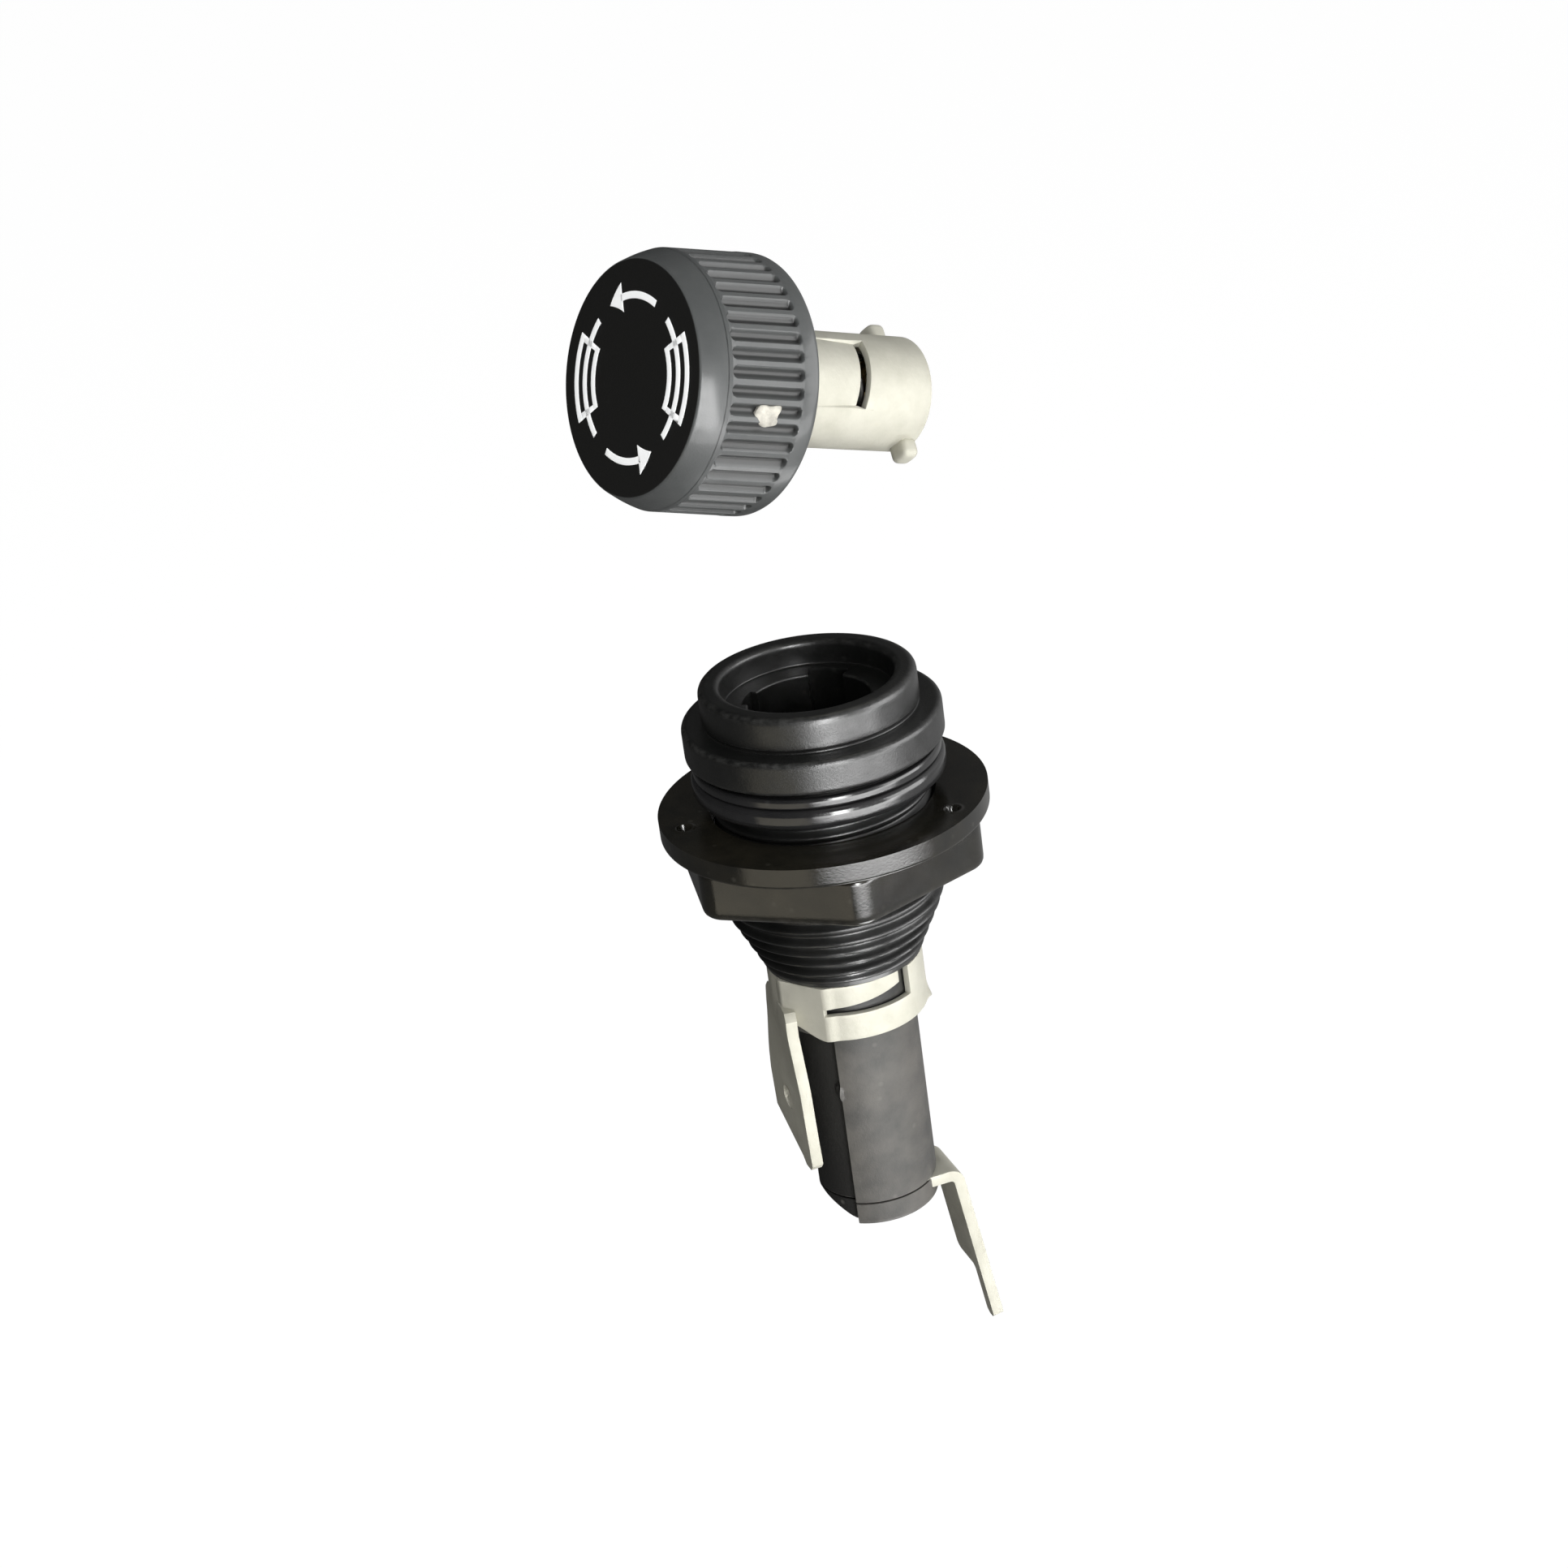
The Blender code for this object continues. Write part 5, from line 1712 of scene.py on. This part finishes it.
@dataclass
class Studio:
    """Camera, lamps, floor and surroundings."""

    focal_px: float = 4200.0
    frame_px: float = 1932.0
    aim_px: Span = (1004.0, 912.0)
    turn: float = -17.0
    rise: float = 24.5
    roll: float = -8.0
    distance: float = 230.0
    lamps: tuple[Lamp, ...] = (
        Lamp("low_panel", 12.0, -20.0, 0.13, (0.19, 0.036), 0.118),
        Lamp("left_panel", -55.0, -22.0, 0.13, (0.1, 0.05), 0.0095, colour=(1.0, 0.92, 0.74)),
        Lamp("edge_panel", -4.0, 6.0, 0.16, (0.04, 0.12), 0.23),
        Lamp("under_panel", 40.0, -70.0, 0.21, (0.13, 0.08), 0.17),
        Lamp("key", 60.0, 7.0, 0.5, (0.4, 0.4), 1.75),
        Lamp("fill", -60.0, 65.0, 0.6, (0.5, 0.5), 3.0, mirrored=False),
    )
    floor_z: float = -230.0
    floor_half: float = 6.0  # metres
    floor_seen: float = 0.97
    floor_matte: float = 0.08
    floor_slope: tuple[Span, Span] = ((-0.115, 0.22), (0.02, 0.36))
    world_slope: tuple[Span, Span] = ((-0.1, 0.8), (0.02, 0.55))
    world_soft: float = 0.22
    bright: Colour = (0.9, -0.35, 0.0)  # direction of the bright side

    def direction(self, turn: float, rise: float) -> Array:
        """Unit vector from the holder at an azimuth, 0 in front, and an elevation."""
        a, e = np.radians(turn), np.radians(rise)
        return np.array([np.sin(a) * np.cos(e), -np.cos(a) * np.cos(e), np.sin(e)])

    def stand(self, name: str, data: bpy.types.ID, axes: Sequence[Array], spot: Array) -> Piece:
        """Set a camera or a lamp in the scene.

        Args:
            name: Its name.
            data: The camera or the light.
            axes: Its own X, Y and Z.
            spot: Its place in metres.

        Returns:
            The object.
        """
        made = bpy.data.objects.new(name, data)
        bpy.context.scene.collection.objects.link(made)
        pose = np.eye(4)
        pose[:3] = np.stack([*axes, spot], axis=1)
        made.matrix_world = Matrix(pose.tolist())
        return made

    def camera(self) -> None:
        """Set the camera where the holder's origin falls on its pixel."""
        back = self.direction(self.turn, self.rise)
        a, r = np.radians(self.turn), np.radians(self.roll)
        level = np.array([np.cos(a), np.sin(a), 0.0])
        above = np.cross(back, level)
        right = level * np.cos(r) + above * np.sin(r)
        up = -level * np.sin(r) + above * np.cos(r)
        scale = self.distance / self.focal_px
        aside = (self.aim_px[0] - self.frame_px / 2) * scale
        higher = -(self.aim_px[1] - self.frame_px / 2) * scale
        spot = (-right * aside - up * higher + back * self.distance) * MM
        lens = bpy.data.cameras.new("camera")
        lens.sensor_width = 36.0
        lens.lens = self.focal_px / self.frame_px * lens.sensor_width
        lens.clip_start = 0.01
        bpy.context.scene.camera = self.stand("camera", lens, (right, up, back), spot)

    def hang(self, lamp: Lamp) -> None:
        """Hang a lamp so that it faces the holder.

        Args:
            lamp: The lamp to hang.
        """
        light = bpy.data.lights.new(lamp.name, "AREA")
        light.shape = "RECTANGLE"
        light.size, light.size_y = lamp.size
        light.energy = lamp.power
        light.color = lamp.colour
        back = self.direction(lamp.turn, lamp.rise)
        side = unit(np.cross([0.0, 0.0, 1.0], back))
        made = self.stand(lamp.name, light, (side, np.cross(back, side), back), back * lamp.away)
        made.visible_camera = False
        made.visible_glossy = lamp.mirrored

    def backdrop(self, tree: Tree) -> tuple[Socket, Socket]:
        """Tell apart the rays that see the white backdrop.

        Args:
            tree: The floor's or the world's node tree.

        Returns:
            1 for camera and see-through rays, and 1 for mirror rays.
        """
        path = wire(tree, "ShaderNodeLightPath").outputs
        seen = reckon(tree, path["Is Camera Ray"], Sum.PLUS, path["Is Transmission Ray"], clamp=True)
        return seen, path["Is Glossy Ray"]

    def slope(self, tree: Tree, space: str, ends: tuple[Span, Span]) -> Socket:
        """A level that rises towards the studio's bright side.

        Args:
            tree: The floor's or the world's node tree.
            space: Which coordinates to measure along the bright direction.
            ends: Where the rise begins and ends, and the levels there.

        Returns:
            The level's socket.
        """
        spot = wire(tree, "ShaderNodeTexCoord").outputs[space]
        along = wire(tree, "ShaderNodeVectorMath", {0: spot, 1: self.bright}, operation="DOT_PRODUCT")
        return rescale(tree, along.outputs["Value"], *ends)

    def floor(self) -> None:
        """Lay a pale floor that is white to the camera and keeps the holder's shadow."""
        mesh = bpy.data.meshes.new("floor")
        half, level = self.floor_half, self.floor_z * MM
        corners = [(-half, -half, level), (half, -half, level), (half, half, level), (-half, half, level)]
        mesh.from_pydata(corners, [], [(0, 1, 2, 3)])
        made = bpy.data.objects.new("floor", mesh)
        bpy.context.scene.collection.objects.link(made)
        paint = bpy.data.materials.new("pale_floor")
        paint.use_nodes = True
        tree = paint.node_tree
        tree.nodes.clear()
        seen, mirrored = self.backdrop(tree)
        lit = reckon(tree, self.slope(tree, "Object", self.floor_slope), Sum.TIMES, mirrored)
        white = reckon(tree, seen, Sum.TIMES, self.floor_seen)
        glow = wire(tree, "ShaderNodeEmission", {"Strength": reckon(tree, white, Sum.PLUS, lit)})
        matte = wire(tree, "ShaderNodeBsdfDiffuse", {"Color": (*[self.floor_matte] * 3, 1.0)})
        both = wire(tree, "ShaderNodeAddShader", {0: glow.outputs[0], 1: matte.outputs[0]})
        wire(tree, "ShaderNodeOutputMaterial", {0: both.outputs[0]})
        mesh.materials.append(paint)

    def world(self) -> None:
        """Surround the holder: white to the camera, brighter to the right in mirrors, else soft grey."""
        world = bpy.data.worlds.new("surroundings")
        bpy.context.scene.world = world
        world.use_nodes = True
        tree = world.node_tree
        tree.nodes.clear()
        seen, mirrored = self.backdrop(tree)
        side = self.slope(tree, "Generated", self.world_slope)
        mixed = wire(tree, "ShaderNodeMix", {0: mirrored, 2: self.world_soft, 3: side})
        strength = wire(tree, "ShaderNodeMix", {0: seen, 2: mixed.outputs[0], 3: 1.0})
        white = {"Color": (1.0, 1.0, 1.0, 1.0), "Strength": strength.outputs[0]}
        wire(tree, "ShaderNodeOutputWorld", {0: wire(tree, "ShaderNodeBackground", white).outputs[0]})

    def build(self) -> None:
        """Set the camera, the lamps, the floor, the surroundings and plain colour handling."""
        bpy.context.scene.view_settings.view_transform = "Standard"
        self.camera()
        for lamp in self.lamps:
            self.hang(lamp)
        self.floor()
        self.world()


def joint(name: str) -> dict[str, object]:
    """The record's joint of that name."""
    return next(found for found in frame["joints"] if found["name"] == name)


def cap_place(back: float) -> Place:
    """The cap's own frame, from its joints.

    Z is against the twist's axis, Y is the tip's axis, and the origin lies on
    the twist's axis, back from its point.

    Args:
        back: Millimetres from the twist's point to the knob's rear edge.

    Returns:
        The cap's frame.
    """
    twist = joint("cap_twist")
    slide = unit(np.array(twist["axis"], float))
    aside = unit(np.array(joint("cap_tip")["axis"], float))
    origin = np.array(twist["pos_m"], float) / MM - back * slide
    return Place(origin, np.stack([np.cross(aside, -slide), aside, -slide]))


def main() -> None:
    """Build the sub-assemblies in order and report their pieces."""
    logging.basicConfig(level=logging.INFO, format="%(name)s: %(message)s")
    upright = Place(np.zeros(3), np.eye(3))
    cap = cap_place(back=2.0)
    Studio().build()
    groups: list[Assembly] = [
        Barrel(upright),
        ClampNut(upright),
        SideTerminal(upright),
        TubeEnd(upright),
        Knob(cap),
    ]
    for group in groups:
        group.build()
    carrier = Carrier(cap)
    carrier.build(-cap.axes[2])
    for group in [*groups, carrier]:
        for piece in group.pieces:
            LOG.info("%s: %s, %d faces", type(group).__name__, piece.name, len(piece.data.polygons))


if __name__ == "__main__":
    main()
